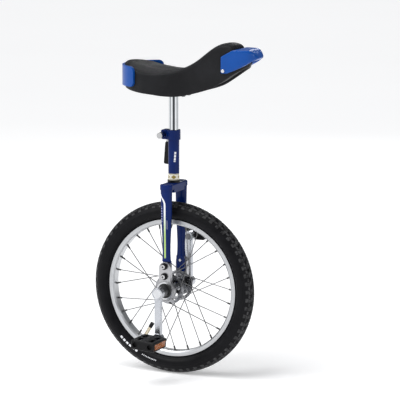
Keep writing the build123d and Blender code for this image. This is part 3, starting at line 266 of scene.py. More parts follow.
def rubber(name, colour, roughness):
    """Soft rubber with a dusty bloom."""
    finish = Finish(name, {"Specular IOR Level": 0.35, "Sheen Weight": 0.15, "Sheen Roughness": 0.5})
    bloom = finish.noise(70, 5).rise(0.35, 0.75)
    shade = finish.mix(bloom, (*colour, 1), tinted(colour, 1.7, 0.004))
    return finish.feed(Base_Color=shade, Roughness=roughness + 0.12 * bloom,
                       Normal=finish.bump(finish.noise(2400, 2), 0.00005, finish.rounded(0.5 * MM)))


def paint(name, colour, decals=None):
    """Gloss paint over metal under a clear coat, with slight orange peel; decals lie under the coat."""
    finish = Finish(name, {"Coat Weight": 0.22, "Coat Roughness": 0.05, "Specular IOR Level": 0.05})
    rounded = finish.rounded(1.0 * MM)
    peel = finish.noise(420, 1)
    light = tinted(colour, 1.5, 0.01)
    shade = finish.mix(finish.worn_edge(rounded) * 0.35, finish.mottled(colour, 0.07, 24), light)
    if decals:
        shade = decals(finish, shade)
    rough = 0.3 + 0.1 * finish.noise(150, 3)
    return finish.feed(Base_Color=shade, Roughness=rough, Normal=finish.bump(peel, 0.00002, rounded))


def coat(finish, *names):
    """Give CAD pieces their finish."""
    for name in names:
        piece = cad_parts[name]
        if not piece.material_slots:
            piece.data.materials.append(finish.material)
        for slot in piece.material_slots:
            slot.material = finish.material


def settle(piece, body, finish):
    """Link a new piece, ride it on its body and give it its finish."""
    if piece.name not in bpy.context.scene.collection.objects:
        bpy.context.scene.collection.objects.link(piece)
    piece.data.materials.clear()
    piece.data.materials.append(finish.material)
    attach(piece, body)
    return piece


def piece_from(name, points, faces, smooth=True):
    mesh = bpy.data.meshes.new(name)
    mesh.from_pydata([Vector(point) for point in points], [], faces)
    mesh.polygons.foreach_set("use_smooth", [smooth] * len(mesh.polygons))
    mesh.update()
    return bpy.data.objects.new(name, mesh)


# ---- shapes ----
# all in millimetres, heights above the axle
CASING_SIDE = ((153.0, 10.6), (157.0, 10.7), (160.4, 11.2), (163.5, 15.4), (168.0, 19.6), (173.0, 21.7),
               (177.0, 22.0), (182.0, 21.2), (187.0, 19.0), (191.0, 15.8), (194.4, 11.4), (196.6, 6.4),
               (197.6, 0.0))
CASING_STEPS = 180
# middle, half width and softness of each raised ring on the side
SIDE_RINGS = ((162.6, 0.5, 0.3), (165.2, 0.4, 0.3), (187.5, 0.5, 0.4), (181.5, 0.3, 0.3))
# spacing in degrees, then middle, half and softness of a bar within it, of the ring and of the arc
LONG_MARKS = (3.1, (1.5, 1.05, 0.1), (175.6, 2.4, 0.3), (127.5, 9, 0.3))
SHORT_MARKS = (1.3, (0.6, 0.32, 0.08), (175.4, 1.4, 0.2), (108, 6.5, 0.3))
SHOULDER_RADIUS = 180.0
TREAD_PITCHES = 64
# start and end along the tread in pitches, inner and outer edge across it, slant in pitches
TREAD_BLOCKS = ((0.04, 0.50, 0.7, 4.4, 0.34), (0.56, 0.92, 0.7, 3.6, 0.30), (0.20, 0.74, 5.4, 9.4, -0.20),
                (0.02, 0.44, 10.4, 14.2, 0.10), (0.52, 0.94, 10.4, 13.6, 0.10),
                (0.10, 0.58, 14.9, 18.4, 0.0))
OTHER_HAND_SHIFT = 0.5
BLOCK_ROOT = -0.4
BLOCK_TAPER = 0.1
TREAD_ROLL = 20
TREAD_SPLAY = 40
LOBE_X = -35.0
LOBE_RADIUS = 79.0
SADDLE_FLANK = ((10.0, 64.5), (50.0, 45.0), (90.0, 38.6), (130.0, 36.3), (166.0, 34.0), (182.0, 25.0),
                (190.0, 0.0))
NOSE_MIDDLE = 150.0
GUARD_START = 132.0
GUARD_ROOM = 0.9
GUARD_CELL = 1.2
GUARD_PASSES = 30
RELAX_FACTOR = 0.5
SADDLE_UNDER = ((-116.0, 468.2), (-70.0, 462.2), (-26.0, 457.5), (2.0, 453.5), (40.0, 453.5), (101.0, 470.0),
                (131.0, 486.0), (167.0, 510.0), (192.0, 523.5))
SADDLE_OVER = ((-116.0, 524.6), (-85.0, 516.2), (-54.0, 506.5), (-15.0, 502.5), (26.0, 507.0), (66.0, 526.0),
               (112.0, 561.0), (136.0, 569.0), (150.0, 568.6), (158.0, 565.6), (161.5, 561.0),
               (164.0, 552.0), (192.0, 551.0))
LINE_STEPS = 6
PAD_SIDE_RINGS = 10
PAD_TOP_RINGS = 12
# underside: how far each ring is drawn in to the middle line
PAD_UNDERSIDE = (1, 0.6, 0.25, 0)
UNDERSIDE_INSET = 7.5
UNDERSIDE_LIFT = 4.4
# skirt: inset from the outline and drop below the base line
PAD_SKIRT = ((7.4, 0.5), (6.6, 4.6), (3.6, 6.0), (1.2, 4.8), (0.2, 1.5))
SKIRT_TOP = 1
# side: how far it swells, and how far below the top edge it ends
PAD_BELLY = 0.8
PAD_SHOULDER = 4
# welted edge: inset, lift above the edge, and how many seam widths further in
PAD_WELT = ((0.3, -3.6, 0), (1.2, -1.6, 0), (2.6, -0.3, 0), (2.6, 0.5, 0.5), (2.8, -0.1, 1), (3.4, 0.9, 1))
PAD_TOP_INSET = 3.6
CROWN_START = 1.2
CROWN_CURVE = 2.4
WELD_DISTANCE = 0.05


def smooth_line(points, steps):
    """Points along a smooth curve through the given ones."""
    ends = [points[0], *points, points[-1]]
    line = []
    for before, start, end, after in zip(ends, ends[1:], ends[2:], ends[3:]):
        for step in range(steps):
            along = step / steps
            line.append(tuple(0.5 * (2 * b + (c - a) * along + (2 * a - 5 * b + 4 * c - d) * along * along
                                     + (3 * b - a - 3 * c + d) * along ** 3)
                              for a, b, c, d in zip(before, start, end, after)))
    return [*line, points[-1]]


def between(line, place):
    """Second value of a line of pairs at a first value, ends held."""
    if place <= line[0][0]:
        return line[0][1]
    for (low, first), (high, last) in zip(line, line[1:]):
        if place <= high:
            return first + (last - first) * (place - low) / max(high - low, 1e-9)
    return line[-1][1]


UNDER_LINE = smooth_line(SADDLE_UNDER, LINE_STEPS)
OVER_LINE = smooth_line(SADDLE_OVER, LINE_STEPS)


def saddle_under(x):
    return between(UNDER_LINE, x)


def saddle_top(x):
    return between(OVER_LINE, x)


def saddle_outline():
    """Plan of the pad as points with their outward directions, anticlockwise from the nose."""
    lobe = [(LOBE_X + LOBE_RADIUS * cos(radians(angle)), LOBE_RADIUS * sin(radians(angle)))
            for angle in range(90, 271, 18)]
    flank = list(SADDLE_FLANK)
    plan = [*reversed(flank), *lobe, *[(x, -y) for x, y in flank]]
    line = smooth_line(plan, LINE_STEPS)[:-1]
    outline = []
    for index, here in enumerate(line):
        before, after = line[index - 1], line[(index + 1) % len(line)]
        along = (after[0] - before[0], after[1] - before[1])
        length = hypot(*along)
        outline.append((here, (along[1] / length, -along[0] / length)))
    return outline


def lathe(section, steps):
    """Closed section of (radius, place along the axle) turned about the axle."""
    points = [HUB + MM * Vector((radius * cos(turn), half, radius * sin(turn)))
              for turn in (2 * pi * step / steps for step in range(steps)) for radius, half in section]
    count = len(section)
    return points, ring_faces([step * count for step in range(steps)] + [0], count)


def ring_faces(starts, count):
    """Faces between rings of so many points each, given the first point of each ring."""
    return [(here + i, here + (i + 1) % count, after + (i + 1) % count, after + i)
            for here, after in zip(starts, starts[1:]) for i in range(count)]


def prism(base, hand):
    """Faces of a block from four low and four high corners, turned outwards on either hand."""
    faces = [(base + 4, base + 5, base + 6, base + 7)]
    faces += [(base + i, base + (i + 1) % 4, base + 4 + (i + 1) % 4, base + 4 + i) for i in range(4)]
    if hand > 0:
        faces = [tuple(reversed(face)) for face in faces]
    return faces


def softened(node, name, cell, passes):
    """Copy of a CAD piece with its edges rounded over, as a moulding has them."""
    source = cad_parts[node]
    shape = source.data.copy()
    shape.materials.clear()
    piece = bpy.data.objects.new(name, shape)
    piece.matrix_world = source.matrix_world
    remesh = piece.modifiers.new("remesh", "REMESH")
    remesh.mode = "VOXEL"
    remesh.voxel_size = cell
    remesh.use_smooth_shade = True
    relax = piece.modifiers.new("relax", "SMOOTH")
    relax.factor = RELAX_FACTOR
    relax.iterations = passes
    return piece


# ---- decals ----
# in millimetres, heights above the axle, as middle and half height where there are two
LEG_OUTER_FACE = 40
STRIPE_HEIGHT = (148, 73)
STRIPE_HALF_WIDTH = 2.2
STRIPE_FORWARD = -1
STRIPE_SWEEP = (193, 222)
STRIPE_LEAN = 12
STRIPE_FADE = (120, 190)
YELLOW_GREEN = (0.42, 0.6, 0.2, 1)
BAR_HEIGHT = (176, 18)
BAR_FORWARD = (-9.3, 1.3)
PALE_BLUE = (0.5, 0.52, 0.8, 1)
SMALL_HEIGHT = (152, 10)
SMALL_FORWARD = (4.5, 1.6)
BAND_MIDDLE = 257.1
BAND_HALF = 7.3
BAND_LINES = 5.9
DIAMONDS = 5
DIAMOND_TURN = 0.4026
DIAMOND_HALF = 5.2
CREAM = (0.8, 0.78, 0.68, 1)
GOLD = (0.3, 0.22, 0.05, 1)
PALE_GOLD = (0.32, 0.26, 0.09, 1)
MARK_HEIGHT = (304, 12)
MARK_TURN = 0.9
MARK_SLANT = 0.006


def leg_decals(finish, shade):
    """Stripe down the outer face of each leg, white above and yellow-green below, with small bars."""
    height = (finish.z - HUB.z) / MM
    forward = finish.x / MM
    outer = abs(finish.y).rise(LEG_OUTER_FACE * MM, (LEG_OUTER_FACE + 1) * MM)
    sweep = height.rise(*STRIPE_SWEEP)
    middle = STRIPE_FORWARD - STRIPE_LEAN * sweep * sweep
    stripe = (forward - middle).band(0, STRIPE_HALF_WIDTH, 0.3) * height.band(*STRIPE_HEIGHT, 2) * outer
    tint = finish.mix(height.rise(*STRIPE_FADE), YELLOW_GREEN, WHITE)
    bars = (height % 6).band(3, 1.6, 0.3) * forward.band(*BAR_FORWARD, 0.25)
    bars = bars * height.band(*BAR_HEIGHT, 0.4) * outer
    small = (height % 2.2).band(1.1, 0.6, 0.2) * forward.band(*SMALL_FORWARD, 0.2)
    small = small * height.band(*SMALL_HEIGHT, 0.2) * outer
    shade = finish.mix(stripe, shade, tint)
    shade = finish.mix(bars * 0.8, shade, PALE_BLUE)
    return finish.mix(small * 0.25, shade, WHITE)


def seat_tube_decals(finish, shade):
    """Cream band with gold diamonds above the crown, and a small pale mark higher up."""
    height = (finish.z - HUB.z) / MM
    turn = finish.y.math("ARCTAN2", finish.x)
    band = height.band(BAND_MIDDLE, BAND_HALF, 0.2)
    around = abs((turn * (DIAMONDS / (2 * pi)) + DIAMOND_TURN) % 1 - 0.5) * 2
    tall = abs(height - BAND_MIDDLE) / DIAMOND_HALF
    diamonds = 1 - (around * 1.15 + tall).rise(0.86, 0.98)
    lines = abs(height - BAND_MIDDLE).band(BAND_LINES, 0.45, 0.1)
    gold = finish.mix(diamonds, CREAM, GOLD)
    gold = finish.mix(lines, gold, PALE_GOLD)
    shade = finish.mix(band, shade, gold)
    slant = turn + MARK_TURN - (height - MARK_HEIGHT[0]) * MARK_SLANT
    gaps = (height % 7).band(0.6, 0.7, 0.2)
    mark = slant.band(0, 0.17, 0.04) * height.band(*MARK_HEIGHT, 0.4) * (1 - gaps)
    return finish.mix(mark, shade, WHITE)


# ---- properties ----
class UnicycleColours(bpy.types.PropertyGroup):
    """Colours that a user would change."""

    paint: colour_property("Frame paint", "Gloss paint of the fork, seat tube and collar",
                           (0.0006, 0.014, 0.11))
    guard: colour_property("Guards", "Moulded guards at both ends of the saddle", (0.0006, 0.065, 0.32))
    cover: colour_property("Saddle cover", "Grained cover of the saddle", (0.0085, 0.0088, 0.0105))
    rubber: colour_property("Tyre rubber", "Rubber of the tyre", (0.004, 0.004, 0.005))
    amber: colour_property("Reflectors", "Reflectors in the pedals", (0.5, 0.13, 0.008))
    plastic: colour_property("Black plastic", "Pedals, caps, lever grip and saddle base",
                             (0.005, 0.005, 0.006))


class UnicycleSizes(bpy.types.PropertyGroup):
    """Sizes that a user would change."""

    tread_depth: length_property("Tread depth", "How far the tread blocks stand up", 1.8 * MM)
    saddle_crown: length_property("Saddle crown", "How much lower the top is at its edge than in the middle",
                                  4.5 * MM)
    seam_width: length_property("Seam width", "Width of the welted seam round the saddle's top", 2.2 * MM)


def looks():
    return bpy.context.scene.unicycle_colours


def sizes():
    return bpy.context.scene.unicycle_sizes


# ---- pieces ----
class UNICYCLE_OT_rim_and_spokes(bpy.types.Operator):
    """Finish the rim, spokes, nipples, valve, tape and tube"""

    bl_idname = "unicycle.rim_and_spokes"
    bl_label = "Rim and spokes"

    def execute(self, context):
        rim = Finish("satin_rim", {"Metallic": 1.0})
        rounded = rim.rounded(0.5 * MM)
        place = rim.joined(rim.axle_angle() * 900, rim.axle_radius() * 60, rim.y * 60)
        brushing = rim.node("ShaderNodeTexNoise", {}, {"Vector": place, "Scale": 1, "Detail": 3})
        braked = rim.axle_radius().rise(153 * MM, 156 * MM)
        shade = rim.mix(braked * 0.25, rim.mottled((0.56, 0.57, 0.585), 0.05, 25), (0.44, 0.445, 0.455, 1))
        rim.feed(Base_Color=shade, Roughness=0.3 + 0.16 * brushing,
                 Normal=rim.bump(brushing, 0.00002, rounded))
        coat(rim, "rim")
        coat(metal("drawn_spokes", (0.2, 0.2, 0.205), 0.28), "spokes")
        coat(metal("plated_nipples", (0.1, 0.1, 0.1), 0.4), "spoke_nipples")
        coat(metal("valve_brass", (0.68, 0.6, 0.45), 0.3), "valve_stem")
        coat(plastic("valve_cap_plastic", looks().plastic, 0.5), "valve_cap")
        coat(rubber("tube_rubber", (0.02, 0.02, 0.022), 0.6), "inner_tube", "rim_tape")
        return {"FINISHED"}


class UNICYCLE_OT_hub_and_bearings(bpy.types.Operator):
    """Finish the hub, axle, spacers, bearings, holders, bolts and washers"""

    bl_idname = "unicycle.hub_and_bearings"
    bl_label = "Hub and bearings"

    def execute(self, context):
        coat(turned("hub_chrome", (0.3, 0.305, 0.32), 0.16), "hub_barrel", "right_hub_flange",
             "left_hub_flange")
        coat(turned("dark_turned_steel", (0.13, 0.13, 0.135), 0.3), "axle", "inner_spacers",
             "outer_spacers")
        coat(turned("bearing_steel", (0.62, 0.63, 0.65), 0.16), "bearing_outer_races", "bearing_inner_races",
             "bearing_balls")
        coat(metal("cage_brass", (0.72, 0.52, 0.2), 0.35), "bearing_cages")
        coat(rubber("seal_rubber", (0.02, 0.02, 0.021), 0.5), "bearing_seals")
        holders = metal("milled_holders", (0.5, 0.5, 0.515), 0.33, (0.25, 1, 2.5), 0.00003, 0.8 * MM)
        coat(holders, "right_bearing_holder", "left_bearing_holder")
        coat(metal("plated_bolts", (0.5, 0.5, 0.51), 0.2, edge=0.6 * MM), "holder_bolts")
        coat(paint("black_washers", (0.012, 0.012, 0.013)), "holder_washers")
        return {"FINISHED"}


class UNICYCLE_OT_fork(bpy.types.Operator):
    """Finish the fork, seat tube and crown ring, with their stripes and band"""

    bl_idname = "unicycle.fork"
    bl_label = "Fork"

    def execute(self, context):
        colour = looks().paint
        coat(paint("leg_paint", colour, leg_decals), "right_leg", "left_leg")
        coat(paint("crown_paint", colour), "fork_crown")
        coat(paint("seat_tube_paint", colour, seat_tube_decals), "seat_tube")
        coat(plastic("ring_plastic", looks().plastic, 0.35), "crown_ring")
        return {"FINISHED"}


class UNICYCLE_OT_seat_clamp(bpy.types.Operator):
    """Finish the collar, skewer, lever and nut"""

    bl_idname = "unicycle.seat_clamp"
    bl_label = "Seat clamp"

    def execute(self, context):
        coat(paint("collar_paint", looks().paint), "clamp_collar")
        coat(metal("clamp_chrome", (0.5, 0.505, 0.51), 0.14, edge=0.7 * MM), "clamp_skewer", "lever_pin",
             "clamp_lever", "clamp_nut")
        coat(plastic("grip_plastic", looks().plastic, 0.42, edge=1.2 * MM), "lever_grip", "cam_washer")
        return {"FINISHED"}


class UNICYCLE_OT_cranks_and_pedals(bpy.types.Operator):
    """Finish the cranks, bolts, caps, pedals and reflectors"""

    bl_idname = "unicycle.cranks_and_pedals"
    bl_label = "Cranks and pedals"

    def execute(self, context):
        coat(metal("forged_crank", (0.5, 0.515, 0.55), 0.2, (1, 1, 0.1), 0.00001, 1.6 * MM), "right_crank",
             "left_crank")
        coat(metal("dark_steel", (0.2, 0.2, 0.21), 0.35), "crank_bolts", "right_pedal_spindle",
             "left_pedal_spindle", "spindle_nuts")
        coat(turned("cap_chrome", (0.6, 0.61, 0.63), 0.14), "dust_caps")
        coat(metal("bush_brass", (0.72, 0.52, 0.2), 0.35), "right_pedal_bushes", "left_pedal_bushes")
        coat(plastic("pedal_plastic", looks().plastic, 0.5, 1100, 0.0001, 1.0 * MM), "right_pedal_body",
             "left_pedal_body", "right_pedal_end_cap", "left_pedal_end_cap")
        amber = Finish("amber_reflector", {"Roughness": 0.12, "Coat Weight": 1.0,
                                           "Transmission Weight": 0.25})
        prisms = amber.cells(420, "DISTANCE_TO_EDGE").rise(0.02, 0.3)
        lit = prisms * amber.noise(90).rise(0.3, 0.7)
        shade = amber.mix(lit, (*looks().amber, 1), tinted(looks().amber, 1.25, 0.05))
        amber.feed(Base_Color=shade, Normal=amber.bump(prisms, 0.0004, amber.rounded(0.6 * MM)))
        coat(amber, "right_pedal_reflectors", "left_pedal_reflectors")
        return {"FINISHED"}


class UNICYCLE_OT_tyre(bpy.types.Operator):
    """Build the casing with its side ribs and marks, and the blocks of its tread"""

    bl_idname = "unicycle.tyre"
    bl_label = "Tyre"

    def execute(self, context):
        side = smooth_line(CASING_SIDE, 5)
        across = side + [(radius, -half) for radius, half in reversed(side[:-1])]
        points, faces = lathe(across, CASING_STEPS)
        casing = settle(piece_from("tyre_casing", points, faces), "wheel", self.sidewall())
        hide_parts("tyre")
        points, faces = self.tread(side)
        settle(piece_from("tyre_tread", points, faces, False), "wheel", self.worn_blocks())
        return {"FINISHED"}

    def sidewall(self):
        """Smooth black wall with raised rings and a group of plain pale marks."""
        wall = Finish("tyre_sidewall", {"Specular IOR Level": 0.12})
        radius = wall.axle_radius() / MM
        turn = wall.axle_angle() * (180 / pi)
        rings = sum(radius.band(*ring) for ring in SIDE_RINGS)
        bloom = wall.noise(40, 5).rise(0.35, 0.75)
        shade = wall.mix(bloom * 0.6, (*looks().rubber, 1), tinted(looks().rubber, 2.1))
        bars, short = [(turn % spacing).band(*bar) * radius.band(*ring) * (-turn).band(*arc)
                       for spacing, bar, ring, arc in (LONG_MARKS, SHORT_MARKS)]
        shade = wall.mix((bars + short).rise(0.3, 0.7) * 0.9, shade, WHITE)
        fine = wall.noise(1900, 3)
        raised = rings * 0.7 + fine * 0.12 + bars * 0.3
        return wall.feed(Base_Color=shade, Roughness=0.42 + 0.14 * bloom, Normal=wall.bump(raised, 0.0006))

    def worn_blocks(self):
        """Block tops greyed by the road, with fine sipes."""
        worn = Finish("tyre_tread_rubber", {"Specular IOR Level": 0.35})
        rounded = worn.rounded(0.4 * MM)
        dust = worn.noise(110, 5).rise(0.3, 0.7)
        shade = worn.mix(dust, tinted(looks().rubber, 1.6), ROAD_DUST)
        sipes = ((worn.axle_angle() * 130 + worn.y * 500) % 1).band(0.5, 0.1, 0.05)
        shade = worn.mix(sipes * 0.7, shade, DEEP_BLACK)
        height = worn.noise(900, 3) * 0.3 - sipes
        return worn.feed(Base_Color=shade, Roughness=0.5 + 0.2 * dust,
                         Normal=worn.bump(height, 0.0003, rounded))

    def tread(self, side):
        """Two rows of slanted blocks in the middle and shoulder blocks that reach down both sides."""
        points, faces = [], []
        depth = sizes().tread_depth / MM
        shoulder = sorted((half, radius) for radius, half in side if radius > SHOULDER_RADIUS)
        for pitch in range(TREAD_PITCHES):
            for hand in (-1, 1):
                for start, end, first, last, slant in TREAD_BLOCKS:
                    shift = pitch + (OTHER_HAND_SHIFT if hand > 0 else 0)
                    corners = [(shift + start, first), (shift + end, first), (shift + end + slant, last),
                               (shift + start + slant, last)]
                    base = len(points)
                    middle = [sum(values) / 4 for values in zip(*corners)]
                    for lift, taper in ((BLOCK_ROOT, 0), (depth, BLOCK_TAPER)):
                        for corner in corners:
                            turn, half = [value + (centre - value) * taper
                                          for value, centre in zip(corner, middle)]
                            radius = between(shoulder, half) + lift * cos(half / TREAD_ROLL)
                            angle = turn * 2 * pi / TREAD_PITCHES
                            side_way = hand * (half + lift * half / TREAD_SPLAY)
                            points.append(HUB + MM * Vector((radius * cos(angle), side_way,
                                                             radius * sin(angle))))
                    faces += prism(base, hand)
        return points, faces


class UNICYCLE_OT_saddle(bpy.types.Operator):
    """Build the crowned pad with its welted top edge and skirt, and finish the base, guards and post"""

    bl_idname = "unicycle.saddle"
    bl_label = "Saddle"

    def execute(self, context):
        pad = self.pad()
        settle(pad, "saddle", self.cover())
        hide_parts("saddle_cover", "saddle_foam")
        gloss = self.moulding()
        coat(gloss, "rear_bumper")
        guard = softened("front_guard", "guard_shell", GUARD_CELL * MM, GUARD_PASSES)
        settle(guard, "saddle", gloss)
        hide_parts("front_guard")
        coat(plastic("base_plastic", looks().plastic, 0.5), "saddle_base")
        coat(metal("dark_studs", (0.2, 0.2, 0.21), 0.35), "saddle_studs", "plate_nuts")
        coat(paint("plate_paint", (0.012, 0.012, 0.013)), "saddle_plate")
        coat(metal("guard_screws", (0.8, 0.8, 0.82), 0.2), "guard_screws")
        coat(self.chrome(), "seatpost")
        return {"FINISHED"}

    def moulding(self):
        """Gloss moulded plastic with pale rubbed edges."""
        gloss = Finish("moulded_guard", {"Specular IOR Level": 0.15, "Coat Weight": 0.3,
                                         "Coat Roughness": 0.12})
        rounded = gloss.rounded(2.6 * MM)
        colour = looks().guard
        pale = tinted(colour, 1.8, 0.01)
        shade = gloss.mix(gloss.worn_edge(rounded) * 0.4, gloss.mottled(colour, 0.06, 18), pale)
        grain = gloss.cells(1600)
        return gloss.feed(Base_Color=shade, Roughness=0.3 + 0.1 * gloss.noise(90, 4),
                          Normal=gloss.bump(grain, 0.00002, rounded))

    def chrome(self):
        """Bright plated tube with painted reflections: darker and greyer lines drawn along it, standing in
        for shade and surroundings mirrored in the plating.
        """
        plated = Finish("post_chrome", {"Metallic": 1.0})
        rounded = plated.rounded(0.4 * MM)
        # painted reflections: bands round the post, coloured darker and greyer, stand in for what the
        # plating mirrors
        turn = plated.y.math("ARCTAN2", plated.x)
        across = abs((turn * (POST_REFLECTION_LINES / (2 * pi)) + POST_REFLECTION_TURN) % 1 - 0.5) * 2
        waver = 0.05 * plated.noise(60, 2, (1, 1, 0.05))
        dark_reflection = 1 - (across + waver).rise(0.16, 0.5)
        grey_reflection = (across + waver).rise(0.62, 0.9)
        # the painted reflections are mixed into the plating's own colour
        shade = plated.mix(grey_reflection * 0.75, plated.mottled(POST_BRIGHT, 0.04, 60), POST_GREY_REFLECTION)
        shade = plated.mix(dark_reflection * 0.97, shade, POST_DARK_REFLECTION)
        lines = plated.noise(1500, 2, (1, 1, 0.04))
        return plated.feed(Base_Color=shade, Roughness=0.06 + 0.04 * lines,
                           Normal=plated.bump(lines, 0.000004, rounded))

    def cover(self):
        """Matte vinyl with a fine leather grain, smoother where it is rubbed."""
        vinyl = Finish("cover_vinyl", {"Sheen Weight": 0.02, "Sheen Roughness": 0.45,
                                       "Specular IOR Level": 0.18})
        grain = vinyl.cells(1250, "DISTANCE_TO_EDGE").rise(0.02, 0.35)
        pores = vinyl.noise(2600, 2)
        rubbed = vinyl.noise(26, 4).rise(0.4, 0.7)
        colour = looks().cover
        shade = vinyl.mix(grain, tinted(colour, 0.75), tinted(colour, 1.25))
        shade = vinyl.mix(rubbed * 0.35, shade, tinted(colour, 1.9))
        height = grain * 0.6 + pores * 0.3
        return vinyl.feed(Base_Color=shade, Roughness=0.56 - 0.1 * rubbed,
                          Normal=vinyl.bump(height, 0.00022))

    def pad(self):
        """Rings from the middle of the underside, round the skirt and up over the crown."""
        outline = saddle_outline()
        crown, seam = sizes().saddle_crown / MM, sizes().seam_width / MM
        rings = [self.level(outline, share, UNDERSIDE_INSET, lambda x: saddle_under(x) + UNDERSIDE_LIFT)
                 for share in PAD_UNDERSIDE]
        for inset, drop in PAD_SKIRT:
            rings.append(self.level(outline, 0, inset, lambda x, drop=drop: saddle_under(x) - drop))
        for step in range(1, PAD_SIDE_RINGS):
            share = step / PAD_SIDE_RINGS
            rings.append(self.level(outline, 0, -PAD_BELLY * sin(pi * share), lambda x, share=share: (
                saddle_under(x) - SKIRT_TOP
                + share * (saddle_top(x) - crown - PAD_SHOULDER - saddle_under(x)))))
        for inset, lift, seams in PAD_WELT:
            rings.append(self.level(outline, 0, inset + seams * seam,
                                    lambda x, lift=lift: saddle_top(x) - crown + lift))
        for step in range(1, PAD_TOP_RINGS + 1):
            share = step / PAD_TOP_RINGS
            fall = (crown - CROWN_START) * (1 - share) ** CROWN_CURVE
            rings.append(self.level(outline, share, PAD_TOP_INSET + seam,
                                    lambda x, fall=fall: saddle_top(x) - fall))
        count = len(outline)
        points = [point for ring in rings for point in ring]
        starts = [ring * count for ring in range(len(rings))]
        pad = piece_from("saddle_pad", points, ring_faces(starts, count))
        self.weld(pad)
        pad.modifiers.new("soften", "SUBSURF").levels = 1
        return pad

    def level(self, outline, share, inset, height):
        """One ring: the outline moved inwards, then part of the way to the saddle's middle line."""
        ring = []
        for (x, y), (normal_x, normal_y) in outline:
            inset_here = inset + (GUARD_ROOM if x > GUARD_START else 0)
            x, y = x - normal_x * inset_here, y - normal_y * inset_here
            middle = min(max(x, LOBE_X), NOSE_MIDDLE)
            x, y = x + (middle - x) * share, y * (1 - share)
            ring.append(Vector((x * MM, y * MM, HUB.z + height(x) * MM)))
        return ring

    def weld(self, piece):
        """Join the points that meet on the middle line."""
        shape = bmesh.new()
        shape.from_mesh(piece.data)
        bmesh.ops.remove_doubles(shape, verts=shape.verts, dist=WELD_DISTANCE * MM)
        bmesh.ops.recalc_face_normals(shape, faces=shape.faces)
        shape.to_mesh(piece.data)
        shape.free()


# ---- stage ----
# name, place in metres, width and power of each lamp
LAMPS = (("left_strip", (-2.4, -2.4, 1.5), 0.5, 16), ("right_strip", (3.0, -1.2, 1.3), 0.5, 16),
         ("top_box", (-0.3, -0.4, 2.9), 1.4, 22), ("back_strip", (-0.6, 3.2, 1.6), 0.6, 12))
SUN_POWER = 2.1
SUN_SPREAD = 50
SUN_FROM = (-0.5, -0.55, 1)
FLOOR_SHADE = (0.9, 0.9, 0.905)
FLOOR_GLOW = 0.26
BACKDROP_SHADE = (0.95, 0.97, 1.0, 1)
BACKDROP_GLOW = 0.22
CAMERA_FROM = (0.4166, -0.8935, 0.1673)
CAMERA_DISTANCE = 6
CAMERA_LENS = 235.4
CAMERA_SENSOR = 36
CAMERA_REACH = 200
AIM_RIGHT = 0.0596
AIM_UP = 0.1995


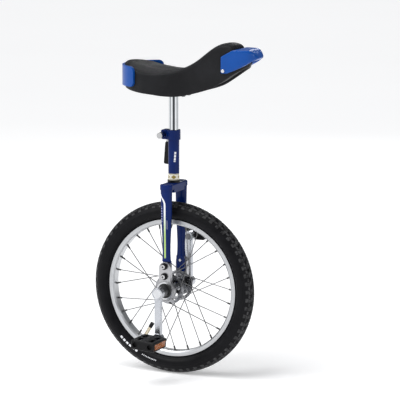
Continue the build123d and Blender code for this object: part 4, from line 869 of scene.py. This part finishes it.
class UNICYCLE_OT_stage(bpy.types.Operator):
    """Add the floor, the lights and the camera"""

    bl_idname = "unicycle.stage"
    bl_label = "Stage"

    def execute(self, context):
        reach = FLOOR_REACH
        corners = [(-reach, -reach, 0), (reach, -reach, 0), (reach, reach, 0), (-reach, reach, 0)]
        floor = piece_from("floor", corners, [(0, 1, 2, 3)])
        pale = Finish("pale_floor", {"Roughness": 0.85, "Specular IOR Level": 0.1,
                                     "Emission Color": (1, 1, 1, 1), "Emission Strength": FLOOR_GLOW})
        pale.feed(Base_Color=pale.mottled(FLOOR_SHADE, 0.01, 0.5))
        floor.data.materials.append(pale.material)
        bpy.context.scene.collection.objects.link(floor)
        world = bpy.data.worlds.new("studio")
        world.use_nodes = True
        backdrop = world.node_tree.nodes["Background"]
        backdrop.inputs["Color"].default_value = BACKDROP_SHADE
        backdrop.inputs["Strength"].default_value = BACKDROP_GLOW
        bpy.context.scene.world = world
        bpy.context.scene.view_settings.view_transform = "Standard"
        self.overhead()
        for lamp in LAMPS:
            self.lamp(*lamp)
        self.camera()
        return {"FINISHED"}

    def overhead(self):
        """Wide even light from above on the left, the same over the whole floor."""
        light = bpy.data.lights.new("overhead", "SUN")
        light.energy = SUN_POWER
        light.angle = radians(SUN_SPREAD)
        self.hang(light, (0, 0, 0), Vector(SUN_FROM))

    def lamp(self, name, place, width, power):
        light = bpy.data.lights.new(name, "AREA")
        light.shape = "SQUARE"
        light.size = width
        light.energy = power
        self.hang(light, place, Vector(place) - HUB)

    def hang(self, data, place, back):
        """Put a light or the camera in its place, with its back turned that way."""
        thing = bpy.data.objects.new(data.name, data)
        thing.location = place
        thing.rotation_mode = "QUATERNION"
        thing.rotation_quaternion = back.to_track_quat("Z", "Y")
        bpy.context.scene.collection.objects.link(thing)
        return thing

    def camera(self):
        """A long lens on the front right, a little above the saddle."""
        back = Vector(CAMERA_FROM).normalized()
        right = Vector((-back.y, back.x, 0)).normalized()
        up = back.cross(right)
        data = bpy.data.cameras.new("camera")
        data.lens = CAMERA_LENS
        data.sensor_width = CAMERA_SENSOR
        data.clip_end = CAMERA_REACH
        place = HUB + AIM_RIGHT * right + AIM_UP * up + CAMERA_DISTANCE * back
        bpy.context.scene.camera = self.hang(data, place, back)


class UNICYCLE_PT_looks(bpy.types.Panel):
    """Lists the pieces in the order they are made"""

    bl_label = "Unicycle looks"
    bl_idname = "UNICYCLE_PT_looks"
    bl_space_type = "VIEW_3D"
    bl_region_type = "UI"
    bl_category = "Unicycle"

    def draw(self, context):
        for group in (context.scene.unicycle_colours, context.scene.unicycle_sizes):
            box = self.layout.box()
            for name in group.__annotations__:
                box.prop(group, name)
        for operator in PIECES:
            self.layout.operator(operator.bl_idname)


PIECES = (UNICYCLE_OT_tyre, UNICYCLE_OT_rim_and_spokes, UNICYCLE_OT_hub_and_bearings, UNICYCLE_OT_fork,
          UNICYCLE_OT_seat_clamp, UNICYCLE_OT_cranks_and_pedals, UNICYCLE_OT_saddle, UNICYCLE_OT_stage)
CLASSES = (UnicycleColours, UnicycleSizes, *PIECES, UNICYCLE_PT_looks)


def register():
    for made in CLASSES:
        bpy.utils.register_class(made)
    bpy.types.Scene.unicycle_colours = bpy.props.PointerProperty(type=UnicycleColours)
    bpy.types.Scene.unicycle_sizes = bpy.props.PointerProperty(type=UnicycleSizes)


def unregister():
    del bpy.types.Scene.unicycle_sizes
    del bpy.types.Scene.unicycle_colours
    for made in reversed(CLASSES):
        bpy.utils.unregister_class(made)


def main():
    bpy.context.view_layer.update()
    register()
    for operator in PIECES:
        group, name = operator.bl_idname.split(".")
        getattr(getattr(bpy.ops, group), name)()
    bpy.context.view_layer.update()


if __name__ == "__main__":
    main()
